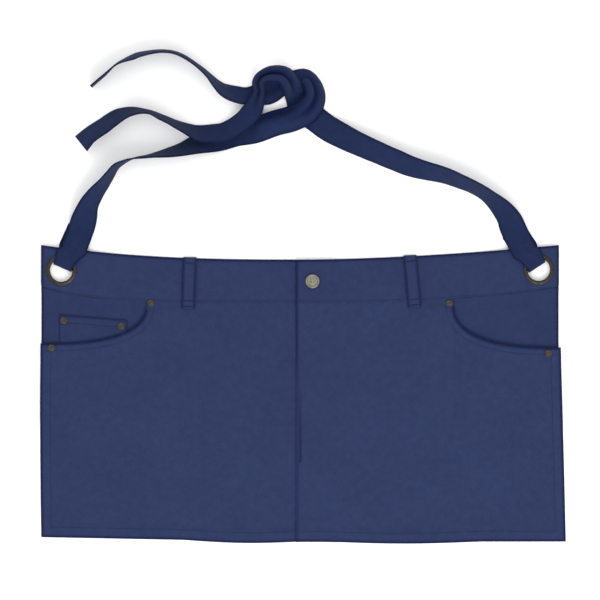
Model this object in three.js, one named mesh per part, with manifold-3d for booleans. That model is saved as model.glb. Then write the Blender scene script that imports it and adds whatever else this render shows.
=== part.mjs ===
// A waist apron lying flat, front up: two skirt panels, a waistband with a button and two belt loops,
// curved pocket mouths with rivets, and two ties that pass through eyelets and meet in a knot.
// Millimetres, +Z up, +Y from the hem to the waistband, +X to the viewer's right.
import * as THREE from 'three';
import { mergeVertices } from 'three/addons/utils/BufferGeometryUtils.js';
import Module from 'manifold-3d';

const wasm = await Module();
wasm.setup();

// Clearances
const gap = 0.3;
const seamGap = 0.3;

// Driving dimensions
const skirt = { halfWidth: 320, flare: 9, length: 296, cloth: 1.2, hemWidth: 14, hemThickness: 2.3 };
const band = { height: 53, thickness: 2.6, rise: 18, seamRise: 19 };
const overlap = { edge: -5, width: 38, slope: 22 };
const pocket = {
  mouthWidth: 130,
  mouthDepthLeft: 50.5,
  mouthDepthRight: 55.5,
  roundness: 2.6,
  gape: 2,
  sideSlope: 26,
  seamSlope: 14,
};
const bag = { width: 146, depth: 140, slopeStart: 19, slopeEnd: 42 };
const coin = { width: 84, below: 15, slope: 0.08, under: 7, thickness: 1.0, inset: 22 };
const loop = {
  width: 16.5, thickness: 1.8, over: 2.5, below: 8, clearance: 1.2, footSlope: 18, headSlope: 7, tip: 3,
};
const button = { diameter: 17.5, rim: 3.2, dish: 1.6, at: 15.4, below: 27 };
const rivet = { diameter: 9, height: 1.8 };
const eyelet = { bore: 28, outer: 38, wall: 1.2, flange: 0.8, crown: 1.0, inset: 25, below: 28 };
const strap = { width: 32, thickness: 1.8, throughWidth: 24.4, foldBack: 57, bend: 8.1, narrow: 9 };
const knot = { half: 44.6, x: -12.4, aboveEyelets: 207 };
const endA = { reach: 194 };
const endB = { reach: 199 };

const layer = strap.thickness + gap;
const edgeFlat = 4;

// Smooth step from 0 at from to 1 at to, either way round
function ramp(value, from, to) {
  const way = Math.sign(to - from);
  return THREE.MathUtils.smoothstep(value * way, from * way, to * way);
}

// Outline of the apron in plan
function sideX(side, y) {
  const down = THREE.MathUtils.clamp(1 - y / skirt.length, 0, 1);
  const flare = side > 0 ? skirt.flare * Math.pow(down, 0.8) : 1.5 * Math.sin(Math.PI * down);
  return side * (skirt.halfWidth + flare);
}

function shareOut(x) {
  return Math.min(Math.abs(x) / skirt.halfWidth, 1);
}

function seamY(x) {
  return skirt.length + band.seamRise * Math.pow(shareOut(x), x < 0 ? 5 : 2.6);
}

function topY(x) {
  return skirt.length + band.height + band.rise * Math.pow(shareOut(x), x < 0 ? 2.6 : 1.7);
}

// The hem rises a little to the left side and sags over a stretch of each panel
const hemLine = {
  left: { rise: 0.0186, power: 1.2, sag: 0.0088, from: 0, to: 0.45 },
  right: { rise: 0, power: 1.2, sag: 0.0085, from: 0.1, to: 0.68 },
};

function hemY(x) {
  const line = x < 0 ? hemLine.left : hemLine.right;
  const share = THREE.MathUtils.clamp((shareOut(x) - line.from) / (line.to - line.from), 0, 1);
  const rise = line.rise * Math.pow(shareOut(x), line.power);
  return skirt.length * (rise - line.sag * Math.sin(Math.PI * share));
}

// How far cloth is held up by what lies under it
function pocketLift(x, y) {
  const inward = skirt.halfWidth - Math.abs(x);
  const below = seamY(x) - y;
  const sideways = ramp(inward, bag.width + bag.slopeEnd, bag.width + bag.slopeStart);
  const overBag = sideways * ramp(below, bag.depth + bag.slopeEnd, bag.depth + bag.slopeStart);
  return (skirt.cloth + gap) * overBag;
}

// The pocket mouth is a rounded corner measured from the side edge and from the middle of the seam
function mouthDepth(x) {
  return x < 0 ? pocket.mouthDepthLeft : pocket.mouthDepthRight;
}

function mouthShare(x, y) {
  const across = Math.max(skirt.halfWidth - Math.abs(x), 0) / pocket.mouthWidth;
  const down = Math.max(skirt.length - y, 0) / mouthDepth(x);
  const power = pocket.roundness;
  return Math.pow(Math.pow(across, power) + Math.pow(down, power), 1 / power);
}

function mouthLift(x, y) {
  const near = ramp(mouthShare(x, y), 1.4, 1.14);
  const fromSide = ramp(skirt.halfWidth - Math.abs(x), edgeFlat, edgeFlat + pocket.sideSlope);
  const fromSeam = ramp(seamY(x) - y, 0, pocket.seamSlope);
  return pocket.gape * near * (0.75 + 0.25 * fromSide) * (0.6 + 0.4 * fromSeam);
}

function lapLift(x, thickness) {
  const laid = overlap.edge + overlap.width;
  return (thickness + 3 * gap) * ramp(x, laid + overlap.slope, laid);
}

// Soft creases: a gentle rise of the cloth along a line, from near its start to its end
const creases = [
  { x: -0.22, y: 0.80, toX: 0.0, toY: 0.27, rise: 1.1, spread: 13 },
  { x: 0.12, y: 0.40, toX: 0.02, toY: 0.25, rise: 0.8, spread: 12 },
  { x: -0.46, y: 0.70, toX: -0.45, toY: 0.42, rise: 0.9, spread: 11 },
  { x: 0.50, y: 0.60, toX: 0.56, toY: 0.42, rise: 0.9, spread: 13 },
  { x: -0.80, y: 0.30, toX: -0.62, toY: 0.12, rise: 0.8, spread: 16 },
  { x: 0.78, y: 0.34, toX: 0.86, toY: 0.12, rise: 0.8, spread: 15 },
];

function creaseLift(x, y) {
  let lift = 0;
  for (const crease of creases) {
    const startX = crease.x * skirt.halfWidth;
    const startY = crease.y * skirt.length;
    const runX = crease.toX * skirt.halfWidth - startX;
    const runY = crease.toY * skirt.length - startY;
    const squared = runX * runX + runY * runY;
    const along = THREE.MathUtils.clamp(((x - startX) * runX + (y - startY) * runY) / squared, 0, 1);
    const away = Math.hypot(x - startX - along * runX, y - startY - along * runY);
    lift += crease.rise * Math.exp(-Math.pow(away / crease.spread, 2));
  }
  return lift;
}

const creaseFade = { side: 26, hemStart: 6, hemEnd: 34 };

function skirtFloor(x, y, lap) {
  const fromSide = ramp(skirt.halfWidth - Math.abs(x), edgeFlat, edgeFlat + creaseFade.side);
  const inside = fromSide * ramp(y, creaseFade.hemStart, creaseFade.hemEnd);
  const under = y < skirt.hemWidth * 2 ? skirt.hemThickness : skirt.cloth;
  return pocketLift(x, y) + mouthLift(x, y) + creaseLift(x, y) * inside + (lap ? lapLift(x, under) : 0);
}

// Eyelet places and the stack of strap, flange and band there
const eyelets = [-1, 1].map((side) => {
  const x = side * (skirt.halfWidth - eyelet.inset);
  return { side, x, y: topY(x) - eyelet.below };
});
const bandLiftAtEyelet = strap.thickness + gap + eyelet.flange + gap;
const eyeletFrontTop = bandLiftAtEyelet + band.thickness + gap + eyelet.flange + eyelet.crown;

const bandStepShare = 0.07;
const eyeletSlope = { start: eyelet.outer * 2.2, end: eyelet.outer * 0.62 };

function bandFloor(x, y, lap) {
  let lift = 0;
  for (const place of eyelets) {
    const acrossRamp = ramp(Math.abs(x - place.x), eyeletSlope.start, eyeletSlope.end);
    const upRamp = ramp(y, seamY(x), seamY(x) + band.height * bandStepShare);
    lift = Math.max(lift, bandLiftAtEyelet * acrossRamp * upRamp);
  }
  return lift + (lap ? lapLift(x, band.thickness) : 0);
}

// Mesh builders
function closedGeometry(positions, triangles) {
  const geometry = new THREE.BufferGeometry();
  geometry.setAttribute('position', new THREE.Float32BufferAttribute(positions, 3));
  geometry.setIndex(triangles);
  return geometry;
}

// A sheet over a grid of stops: its plan, its underside and its thickness are functions of place
function slab(acrossStops, upStops, plan, underside, thickness) {
  const columns = acrossStops.length;
  const rows = upStops.length;
  const positions = [];
  for (const face of [0, 1]) {
    for (const v of upStops) {
      for (const u of acrossStops) {
        const [x, y] = plan(u, v);
        positions.push(x, y, underside(x, y) + face * thickness(x, y));
      }
    }
  }
  const index = (face, row, column) => face * rows * columns + row * columns + column;
  const triangles = [];
  const quad = (a, b, c, d) => triangles.push(a, b, c, a, c, d);
  for (let row = 0; row < rows - 1; row += 1) {
    for (let column = 0; column < columns - 1; column += 1) {
      const corners = [[row, column], [row, column + 1], [row + 1, column + 1], [row + 1, column]];
      quad(...corners.map(([r, c]) => index(1, r, c)));
      quad(...corners.reverse().map(([r, c]) => index(0, r, c)));
    }
  }
  for (let column = 0; column < columns - 1; column += 1) {
    quad(index(0, 0, column), index(0, 0, column + 1), index(1, 0, column + 1), index(1, 0, column));
    const last = rows - 1;
    const [here, next] = [column, column + 1];
    quad(index(0, last, next), index(0, last, here), index(1, last, here), index(1, last, next));
  }
  for (let row = 0; row < rows - 1; row += 1) {
    const last = columns - 1;
    quad(index(0, row + 1, 0), index(0, row, 0), index(1, row, 0), index(1, row + 1, 0));
    quad(index(0, row, last), index(0, row + 1, last), index(1, row + 1, last), index(1, row, last));
  }
  return closedGeometry(positions, triangles);
}

function evenStops(count) {
  return Array.from({ length: count + 1 }, (_, i) => i / count);
}

function toSolid(geometry) {
  const bare = geometry.clone();
  bare.deleteAttribute('normal');
  bare.deleteAttribute('uv');
  const merged = mergeVertices(bare, 1e-4);
  return new wasm.Manifold(new wasm.Mesh({
    numProp: 3,
    vertProperties: new Float32Array(merged.attributes.position.array),
    triVerts: new Uint32Array(merged.index.array),
  }));
}

function fromSolid(solid) {
  const mesh = solid.getMesh();
  return closedGeometry(Array.from(mesh.vertProperties), Array.from(mesh.triVerts));
}

function cut(geometry, ...cutters) {
  let solid = toSolid(geometry);
  for (const cutter of cutters) {
    solid = solid.subtract(toSolid(cutter));
  }
  return fromSolid(solid);
}

// A flat shape of [x, y] corners, made a prism that passes through all the cloth
const throughDepth = 60;

function prism(corners) {
  const shape = new THREE.Shape(corners.map(([x, y]) => new THREE.Vector2(x, y)));
  const geometry = new THREE.ExtrudeGeometry(shape, { depth: throughDepth, bevelEnabled: false });
  return geometry.translate(0, 0, -throughDepth / 2);
}

function turned(profile, segments) {
  const points = profile.map(([radius, z]) => new THREE.Vector2(radius, z));
  return new THREE.LatheGeometry(points, segments).rotateX(Math.PI / 2);
}

// Skirt panels
function mouthCorners(side, share) {
  const steps = 14;
  const corners = [];
  for (let i = 0; i <= steps; i += 1) {
    const angle = (i / steps) * Math.PI / 2;
    const across = Math.pow(Math.cos(angle), 2 / pocket.roundness) * pocket.mouthWidth * share;
    const down = Math.pow(Math.sin(angle), 2 / pocket.roundness) * mouthDepth(side) * share;
    corners.push([side * (skirt.halfWidth - across), skirt.length - down]);
  }
  const outside = side * (skirt.halfWidth + skirt.flare + skirt.hemWidth);
  const above = skirt.length + band.height;
  corners.push([outside, corners.at(-1)[1]], [outside, above], [corners[0][0], above]);
  return corners;
}

function skirtPanel(side) {
  const lap = side > 0;
  const innerX = lap ? overlap.edge : overlap.edge + overlap.width;
  const plan = (u, v) => {
    const roughX = THREE.MathUtils.lerp(innerX, side * skirt.halfWidth, side > 0 ? u : 1 - u);
    const bottom = hemY(roughX);
    const y = THREE.MathUtils.lerp(bottom, seamY(roughX) - seamGap, v);
    return [THREE.MathUtils.lerp(innerX, sideX(side, y), side > 0 ? u : 1 - u), y];
  };
  const run = Math.abs(side * skirt.halfWidth - innerX);
  const hemShare = skirt.hemWidth / run;
  const hemStops = [0, 1 - hemShare * 1.1, 1 - hemShare, 1];
  const across = [...evenStops(16).slice(0, -1).filter((u) => u < 1 - hemShare * 1.6), ...hemStops.slice(1)];
  const acrossStops = side > 0 ? across : across.map((u) => 1 - u).reverse();
  const bottomShare = skirt.hemWidth / skirt.length;
  const upStops = [0, bottomShare, bottomShare * 1.1, ...evenStops(14).filter((v) => v > bottomShare * 1.6)];
  const thickness = (x, y) => {
    const fromSide = Math.abs(sideX(side, y) - x);
    const inHem = fromSide < skirt.hemWidth * 1.05 || y - hemY(x) < skirt.hemWidth * 1.05;
    return inHem ? skirt.hemThickness : skirt.cloth;
  };
  const sheet = slab(acrossStops, upStops, plan, (x, y) => skirtFloor(x, y, lap), thickness);
  return cut(sheet, prism(mouthCorners(side, 1)));
}

// Waistband halves, each with its eyelet hole
function waistband(side) {
  const lap = side > 0;
  const innerX = lap ? overlap.edge : overlap.edge + overlap.width;
  const plan = (u, v) => {
    const x = THREE.MathUtils.lerp(innerX, side * skirt.halfWidth, side > 0 ? u : 1 - u);
    return [x, THREE.MathUtils.lerp(seamY(x), topY(x), v)];
  };
  const across = [...evenStops(26).slice(0, 20), 0.79, 0.82, 0.85, 0.88, 0.91, 0.94, 0.97, 1];
  const acrossStops = side > 0 ? across : across.map((u) => 1 - u).reverse();
  const upStops = [0, bandStepShare, 0.3, 0.65, 1];
  const underside = (x, y) => bandFloor(x, y, lap);
  const sheet = slab(acrossStops, upStops, plan, underside, () => band.thickness);
  const place = eyelets.find((each) => each.side === side);
  const barrel = eyelet.bore / 2 + eyelet.wall + gap;
  const hole = new THREE.CylinderGeometry(barrel, barrel, throughDepth, 28).rotateX(Math.PI / 2);
  return cut(sheet, hole.translate(place.x, place.y, 0));
}

// Pocket backs and the coin pocket
function pocketBack(side) {
  const plan = (u, v) => {
    const inward = (side > 0 ? 1 - u : u) * bag.width;
    const x = side * (skirt.halfWidth - inward);
    const y = seamY(x) - seamGap - (1 - v) * (bag.depth - seamGap);
    return [x, y];
  };
  return slab(evenStops(12), evenStops(1), plan, () => 0, () => skirt.cloth);
}

function coinTop(x) {
  return skirt.length - coin.below - coin.slope * (x + skirt.halfWidth - coin.inset);
}

// Its lower edge runs on under the edge of the mouth
function coinPocket() {
  const plan = (u, v) => {
    const x = -skirt.halfWidth + coin.inset + u * coin.width;
    const across = (skirt.halfWidth + x) / pocket.mouthWidth;
    const mouth = Math.pow(1 - Math.pow(across, pocket.roundness), 1 / pocket.roundness);
    const bottom = skirt.length - mouth * pocket.mouthDepthLeft - coin.under;
    return [x, THREE.MathUtils.lerp(bottom, coinTop(x), v)];
  };
  return slab(evenStops(8), evenStops(1), plan, () => skirt.cloth + gap, () => coin.thickness);
}

// Belt loops: a strip over the front of the band, turned down over its top edge
function beltLoop(x, lean) {
  const top = Math.max(topY(x - loop.width), topY(x + loop.width));
  const seam = seamY(x);
  const z0 = band.thickness + gap;
  const t = loop.thickness;
  const foot = seam - loop.below;
  const head = top - loop.tip;
  const side = [
    [top + gap, gap],
    [top + gap + t, gap],
    [top + loop.over, z0 + t * 0.7],
    [head, z0 + t],
    [head - loop.headSlope, z0 + t + loop.clearance],
    [foot + loop.footSlope, z0 + t + loop.clearance],
    [foot + loop.footSlope * 0.22, z0 + t * 1.1],
    [foot, z0 + t * 0.9],
    [foot, z0],
    [foot + loop.footSlope * 0.33, z0],
    [foot + loop.footSlope, z0 + loop.clearance],
    [head - loop.headSlope, z0 + loop.clearance],
    [head, z0],
    [top + gap, z0],
  ];
  const shape = new THREE.Shape(side.map(([y, z]) => new THREE.Vector2(y, z)));
  const geometry = new THREE.ExtrudeGeometry(shape, { depth: loop.width, bevelEnabled: false });
  const across = x - loop.width / 2;
  geometry.applyMatrix4(new THREE.Matrix4().set(0, 0, 1, across, 1, 0, 0, 0, 0, 1, 0, 0, 0, 0, 0, 1));
  const position = geometry.attributes.position;
  for (let i = 0; i < position.count; i += 1) {
    position.setX(i, position.getX(i) + lean * (top - position.getY(i)) / (top - seam));
  }
  return geometry;
}

// Metal
function tackButton() {
  const r = button.diameter / 2;
  return turned([
    [0, 0], [r * 0.92, 0], [r, button.rim * 0.28], [r * 0.98, button.rim * 0.72], [r * 0.86, button.rim],
    [r * 0.72, button.rim * 0.85], [r * 0.55, button.dish], [r * 0.28, button.dish],
    [r * 0.2, button.dish * 1.3], [0, button.dish * 1.35],
  ], 24);
}

function rivetHead() {
  const r = rivet.diameter / 2;
  return turned([
    [0, 0], [r, 0], [r, rivet.height * 0.4], [r * 0.78, rivet.height * 0.8],
    [r * 0.5, rivet.height * 0.6], [r * 0.3, rivet.height], [0, rivet.height],
  ], 12);
}

function eyeletRing() {
  const inner = eyelet.bore / 2;
  const outer = eyelet.outer / 2;
  const barrel = inner + eyelet.wall;
  const back = strap.thickness + gap;
  const front = bandLiftAtEyelet + band.thickness + gap;
  const profile = [
    [inner, back], [outer - 0.5, back], [outer - 0.5, back + eyelet.flange], [barrel, back + eyelet.flange],
    [barrel, front], [outer, front], [outer, front + eyelet.flange * 0.6],
    [outer - 1.4, front + eyelet.flange + eyelet.crown * 0.7], [(inner + outer) / 2, eyeletFrontTop],
    [inner + 0.8, front + eyelet.flange + eyelet.crown * 0.6], [inner, front + eyelet.flange * 0.5],
    [inner, back],
  ];
  return turned(profile, 24);
}

// Ties. Rows give the middle of the strap: along and up are shares, turn is the lean in degrees with the left
// edge up, lift is in strap layers under the low edge, gather narrows it, crown and pleat are folds as shares
// of its width.
const eyeletLift = (eyeletFrontTop + gap) / layer;
const columns = ['along', 'up', 'turn', 'lift', 'gather', 'crown', 'pleat'];
const leadLeft = [
  [0.056, 0.118, 0, eyeletLift * 0.93, 0.98, 0.03, 0],
  [0.089, 0.255, 4, 1.1, 1, 0, 0],
  [0.117, 0.371, 44, 0, 1, 0, 0],
  [0.148, 0.445, 58, 0, 1, 0, 0],
  [0.188, 0.513, 70, 0, 1, 0, 0],
  [0.218, 0.57, 77, 0, 1, 0, 0],
  [0.25, 0.623, 84, 0, 1, 0, 0],
  [0.316, 0.662, 95, 0, 1, 0, 0],
  [0.386, 0.676, 101, 0, 1, 0, 0],
  [0.475, 0.7, 116, 0, 1, 0, 0],
  [0.532, 0.718, 126, 0, 1, 0, 0],
  [0.606, 0.752, 146, 0, 1, 0, 0],
  [0.694, 0.786, 170, 0, 1, 0, 0],
  [0.764, 0.816, 178, 0, 1, 0, 0],
  [0.834, 0.831, 180, 0, 1, 0, 0],
];
const knotLeft = [
  [-0.75, -0.74, 192, 0, 1, 0.12, 0],
  [-0.39, -0.63, 188, 0.2, 0.94, 0.22, 0],
  [0.11, -0.49, 188, 1, 1, 0.16, 0.03],
  [0.51, -0.24, 190, 1.4, 1, 0.04, 0.1],
  [0.69, 0.14, 198, 1.4, 0.86, 0, 0.13],
  [0.62, 0.49, 209, 1.3, 0.72, 0, 0.12],
  [0.41, 0.73, 196, 0, 0.54, 0, 0.02],
  [0.03, 0.65, 190, 0, 0.66, 0, 0],
  [-0.31, 0.46, 184, 0, 0.9, 0, 0.03],
  [-0.67, 0.29, 182, 0, 1, 0, 0.05],
];
const freeA = [
  [0, 0, 190, 0, 0.7, 0, 0],
  [0.078, 0.004, 216, 0, 0.84, 0, 0],
  [0.147, 0.025, 235, 0, 1, 0, 0],
  [0.202, 0.068, 248, 0, 1, 0, 0],
  [0.252, 0.121, 257, 0, 1, 0, 0],
  [0.318, 0.179, 259, 0, 1, 0, 0],
  [0.439, 0.256, 260, 0, 1, 0, 0],
  [0.555, 0.276, 257, 0, 1, 0, 0],
  [0.669, 0.259, 254, 0, 1, 0, 0],
  [0.736, 0.238, 252, 0, 1, 0, 0],
  [0.836, 0.194, 260, 0, 1, 0, 0],
  [0.917, 0.121, 265, 0, 1, 0, 0],
  [1, 0.051, 265, 0, 1, 0, 0],
];
const leadRight = [
  [0.058, 0.105, 0, eyeletLift * 0.93, 0.98, 0.03, 0],
  [0.1, 0.236, -6, 1.1, 1, 0, 0],
  [0.122, 0.308, -32, 0.2, 1, 0, 0],
  [0.161, 0.378, -50, 0, 1, 0, 0],
  [0.211, 0.442, -64, 0, 1, 0, 0],
  [0.262, 0.487, -66, 0, 1, 0, 0],
  [0.316, 0.523, -62, 0, 1, 0, 0],
  [0.376, 0.558, -57, 0, 1, 0, 0],
  [0.445, 0.585, -51, 0, 1, 0, 0],
  [0.514, 0.614, -43, 0, 1, 0, 0],
  [0.584, 0.657, -40, 0, 1, 0, 0],
  [0.654, 0.702, -37, 0, 1, 0, 0],
  [0.724, 0.749, -32, 0, 1, 0, 0],
  [0.793, 0.801, -20, 0, 1, 0, 0],
  [0.849, 0.849, -5, 0, 1, 0, 0],
];
const knotRight = [
  [0.72, -0.46, -1, 0, 1, 0, 0],
  [0.44, -0.25, 0, 0, 1, 0, 0],
  [0.28, -0.03, 0, 0, 1, 0, 0],
  [0.16, 0.21, 0, 0.8, 0.86, 0, 0.01],
  [0.02, 0.49, 14, 6.5, 0.78, 0, 0.11],
  [-0.17, 0.69, 20, 8.8, 0.8, 0, 0.17],
  [-0.5, 0.73, 22, 9.6, 0.74, 0, 0.18],
  [-0.76, 0.65, 16, 9.4, 0.56, 0, 0.18],
  [-0.89, 0.5, 6, 8.4, 0.42, 0, 0.17],
  [-0.88, 0.32, 0, 6.4, 0.3, 0, 0.15],
  [-0.95, 0.08, 4, 4.4, 0.42, 0, 0.08],
  [-1.07, -0.24, 12, 4.3, 0.67, 0.02, 0],
];
const freeB = [
  [0.005, 0.006, 20, 3.6, 0.82, 0, 0],
  [0.106, -0.056, 33, 1.9, 0.95, 0, 0],
  [0.188, -0.067, 40, 1.4, 1, 0, 0],
  [0.267, -0.066, 46, 1, 1, 0, 0],
  [0.329, -0.045, 60, 0.6, 1, 0, 0],
  [0.432, 0.001, 72, 0, 1, 0, 0],
  [0.501, 0.033, 74, 0, 1, 0, 0],
  [0.558, 0.059, 78, 0, 1, 0, 0],
  [0.611, 0.069, 76, 0, 1, 0, 0],
  [0.657, 0.071, 69, 0, 1, 0, 0],
  [0.706, 0.064, 61, 0, 1, 0, 0],
  [0.749, 0.05, 54, 0, 1, 0, 0],
  [0.781, 0.036, 50, 0, 1, 0, 0],
  [0.852, -0.012, 46, 0, 1, 0, 0],
  [0.904, -0.046, 45, 0, 1, 0, 0],
  [0.952, -0.081, 44, 0, 1, 0, 0],
  [1, -0.129, 36, 0, 1, 0, 0],
];

function named(row) {
  return Object.fromEntries(columns.map((name, i) => [name, row[i]]));
}

const knotCentre = { x: knot.x, y: (eyelets[0].y + eyelets[1].y) / 2 + knot.aboveEyelets };

// Rows placed in plan: from an eyelet to the knot, around the knot's middle, or outward along a free end
function leadRows(rows, place) {
  return rows.map(named).map((row) => ({
    ...row,
    x: THREE.MathUtils.lerp(place.x, knotCentre.x, row.along),
    y: THREE.MathUtils.lerp(place.y, knotCentre.y, row.up),
  }));
}

function knotRows(rows) {
  return rows.map(named).map((row) => ({
    ...row,
    x: knotCentre.x + row.along * knot.half,
    y: knotCentre.y + row.up * knot.half,
  }));
}

function endRows(rows, reach, fromAlong, fromUp) {
  return rows.map(named).map((row) => ({
    ...row,
    x: knotCentre.x + fromAlong * knot.half - row.along * reach,
    y: knotCentre.y + fromUp * knot.half + row.up * reach,
  }));
}

const sectionSpacing = 11.5;

function smoothRows(rows) {
  const blend = (a, b, c, d, t) => {
    const slopeB = (c - a) / 2;
    const slopeC = (d - b) / 2;
    const t2 = t * t;
    const t3 = t2 * t;
    const leaving = (2 * t3 - 3 * t2 + 1) * b + (t3 - 2 * t2 + t) * slopeB;
    return leaving + (-2 * t3 + 3 * t2) * c + (t3 - t2) * slopeC;
  };
  const keys = ['x', 'y', 'turn', 'lift', 'gather', 'crown', 'pleat'];
  const result = [];
  for (let i = 0; i < rows.length - 1; i += 1) {
    const four = [rows[Math.max(i - 1, 0)], rows[i], rows[i + 1], rows[Math.min(i + 2, rows.length - 1)]];
    const distance = Math.hypot(rows[i + 1].x - rows[i].x, rows[i + 1].y - rows[i].y);
    const steps = Math.max(1, Math.round(distance / sectionSpacing));
    for (let step = 0; step < steps; step += 1) {
      const t = step / steps;
      result.push(Object.fromEntries(keys.map((key) => [key, blend(...four.map((row) => row[key]), t)])));
    }
  }
  result.push(rows.at(-1));
  return result;
}

// One cross-section of a strap: its middle, the direction of its left edge, its face's normal, and its folds
function routeSections(rows) {
  const middles = rows.map((row) => {
    const lean = THREE.MathUtils.degToRad(row.turn);
    const half = (strap.width * row.gather) / 2;
    const standing = half * Math.abs(Math.sin(lean)) + (strap.thickness / 2) * Math.abs(Math.cos(lean));
    const z = Math.max(row.lift, 0) * layer + standing;
    return new THREE.Vector3(row.x, row.y, z);
  });
  return rows.map((row, i) => {
    const next = middles[Math.min(i + 1, rows.length - 1)];
    const along = next.clone().sub(middles[Math.max(i - 1, 0)]).normalize();
    const level = new THREE.Vector3(0, 0, 1).cross(along).normalize();
    const upward = along.clone().cross(level);
    const lean = THREE.MathUtils.degToRad(row.turn);
    const left = level.multiplyScalar(Math.cos(lean)).addScaledVector(upward, Math.sin(lean));
    const normal = along.clone().cross(left).normalize();
    const width = strap.width * row.gather;
    const middle = middles[i].clone();
    const lowest = middle.z - (Math.abs(left.z) * width + Math.abs(normal.z) * strap.thickness) / 2;
    middle.z -= Math.min(lowest, 0);
    return { middle, left, normal, width, crown: row.crown, pleat: row.pleat };
  });
}

// The strap comes up behind the band, turns forward through the eyelet and leaves over the front
function eyeletSections(place, heading) {
  const forward = new THREE.Vector3(Math.cos(heading), Math.sin(heading), 0);
  const left = new THREE.Vector3(0, 0, 1).cross(forward);
  const backZ = strap.thickness / 2;
  const frontZ = eyeletFrontTop + gap + strap.thickness / 2;
  const radius = (frontZ - backZ) / 2;
  const middle = new THREE.Vector3(place.x, place.y, 0);
  const section = (distance, z, normal, width) => ({
    middle: middle.clone().addScaledVector(forward, distance).setZ(z),
    left, normal, width, crown: 0, pleat: 0,
  });
  const down = new THREE.Vector3(0, 0, -1);
  const sections = [1, 0.75, 0.5].map((share) => section(strap.foldBack * share, backZ, down, strap.width));
  const nearWidth = THREE.MathUtils.lerp(strap.throughWidth, strap.width, 0.26);
  sections.push(section(strap.bend + strap.narrow, backZ, down, nearWidth));
  for (let i = 0; i <= 8; i += 1) {
    const angle = (i / 8) * Math.PI;
    const outward = new THREE.Vector3(0, 0, -Math.cos(angle)).addScaledVector(forward, -Math.sin(angle));
    const z = (backZ + frontZ) / 2 - radius * Math.cos(angle);
    sections.push(section(strap.bend - radius * Math.sin(angle), z, outward, strap.throughWidth));
  }
  const up = new THREE.Vector3(0, 0, 1);
  sections.push(section(strap.bend + strap.narrow * 0.67, frontZ, up, nearWidth));
  sections.push(section(strap.bend + strap.narrow * 1.44, frontZ, up, strap.width * 0.95));
  return sections;
}

const strapAcross = [-0.5, -0.36, -0.25, -0.12, 0, 0.12, 0.25, 0.36, 0.5];

function skin(sections) {
  const ring = strapAcross.length * 2;
  const positions = [];
  for (const section of sections) {
    const upSign = Math.sign(section.normal.z);
    const place = (share, face) => {
      const fold = section.crown * (1 - Math.cos(2 * Math.PI * (share + 0.5))) / 2
        + section.pleat * (1 - Math.cos(4 * Math.PI * (share + 0.5))) / 2;
      return section.middle.clone()
        .addScaledVector(section.left, share * section.width)
        .addScaledVector(section.normal, upSign * fold * strap.width + face * strap.thickness / 2);
    };
    for (const share of strapAcross) positions.push(...place(share, -1).toArray());
    for (const share of [...strapAcross].reverse()) positions.push(...place(share, 1).toArray());
  }
  const triangles = [];
  for (let i = 0; i < sections.length - 1; i += 1) {
    for (let j = 0; j < ring; j += 1) {
      const a = i * ring + j;
      const b = i * ring + (j + 1) % ring;
      triangles.push(a, b, b + ring, a, b + ring, a + ring);
    }
  }
  const last = (sections.length - 1) * ring;
  for (let j = 0; j < strapAcross.length - 1; j += 1) {
    const across = ring - 1 - j;
    triangles.push(j, across, across - 1, j, across - 1, j + 1);
    triangles.push(last + j, last + across - 1, last + across, last + j, last + j + 1, last + across - 1);
  }
  return closedGeometry(positions, triangles);
}

function strapBody(place, heading, rows) {
  const geometry = skin([...eyeletSections(place, heading), ...routeSections(smoothRows(rows))]);
  return toSolid(geometry).volume() > 0 ? geometry : flipped(geometry);
}

function flipped(geometry) {
  const index = geometry.index.array;
  for (let i = 0; i < index.length; i += 3) {
    [index[i], index[i + 1]] = [index[i + 1], index[i]];
  }
  return geometry;
}

// Materials
const twill = new THREE.MeshStandardMaterial({ color: '#2f3a60', roughness: 0.9, metalness: 0 });
const tieCloth = new THREE.MeshStandardMaterial({ color: '#2c3a66', roughness: 0.88, metalness: 0 });
const buttonMetal = new THREE.MeshStandardMaterial({ color: '#7d766c', roughness: 0.45, metalness: 0.9 });
const rivetBrass = new THREE.MeshStandardMaterial({ color: '#6e6650', roughness: 0.5, metalness: 0.9 });
const eyeletMetal = new THREE.MeshStandardMaterial({ color: '#4b4537', roughness: 0.4, metalness: 0.95 });

// Assembly, built with the middle of the seam on the Y axis
const apron = new THREE.Group();

function add(name, geometry, material, x = 0, y = 0, z = 0) {
  const mesh = new THREE.Mesh(geometry, material);
  mesh.name = name;
  mesh.position.set(x, y, z);
  apron.add(mesh);
  return mesh;
}

add('skirt_left', skirtPanel(-1), twill);
add('skirt_right', skirtPanel(1), twill);
add('waistband_left', waistband(-1), twill);
add('waistband_right', waistband(1), twill);
add('pocket_back_left', pocketBack(-1), twill);
add('pocket_back_right', pocketBack(1), twill);
add('coin_pocket', coinPocket(), twill);
add('belt_loop_left', beltLoop(-skirt.halfWidth * 0.425, -2), twill);
add('belt_loop_right', beltLoop(skirt.halfWidth * 0.425, 5), twill);

const buttonZ = bandFloor(button.at, topY(button.at) - button.below, true) + band.thickness + gap;
add('button', tackButton(), buttonMetal, button.at, topY(button.at) - button.below, buttonZ);

// A rivet's seat is the highest cloth under its rim
function seatZ(x, y, surface) {
  const r = rivet.diameter / 2;
  let highest = surface(x, y);
  for (let i = 0; i < 12; i += 1) {
    const angle = (i / 12) * 2 * Math.PI;
    highest = Math.max(highest, surface(x + r * Math.cos(angle), y + r * Math.sin(angle)));
  }
  return highest + gap;
}

function clothTop(x, y) {
  return y > seamY(x) ? band.thickness : skirtFloor(x, y, false) + skirt.cloth;
}

function hemTop(x, y) {
  return skirtFloor(x, y, false) + skirt.hemThickness;
}

function coinSurface() {
  return skirt.cloth + gap + coin.thickness;
}

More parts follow.
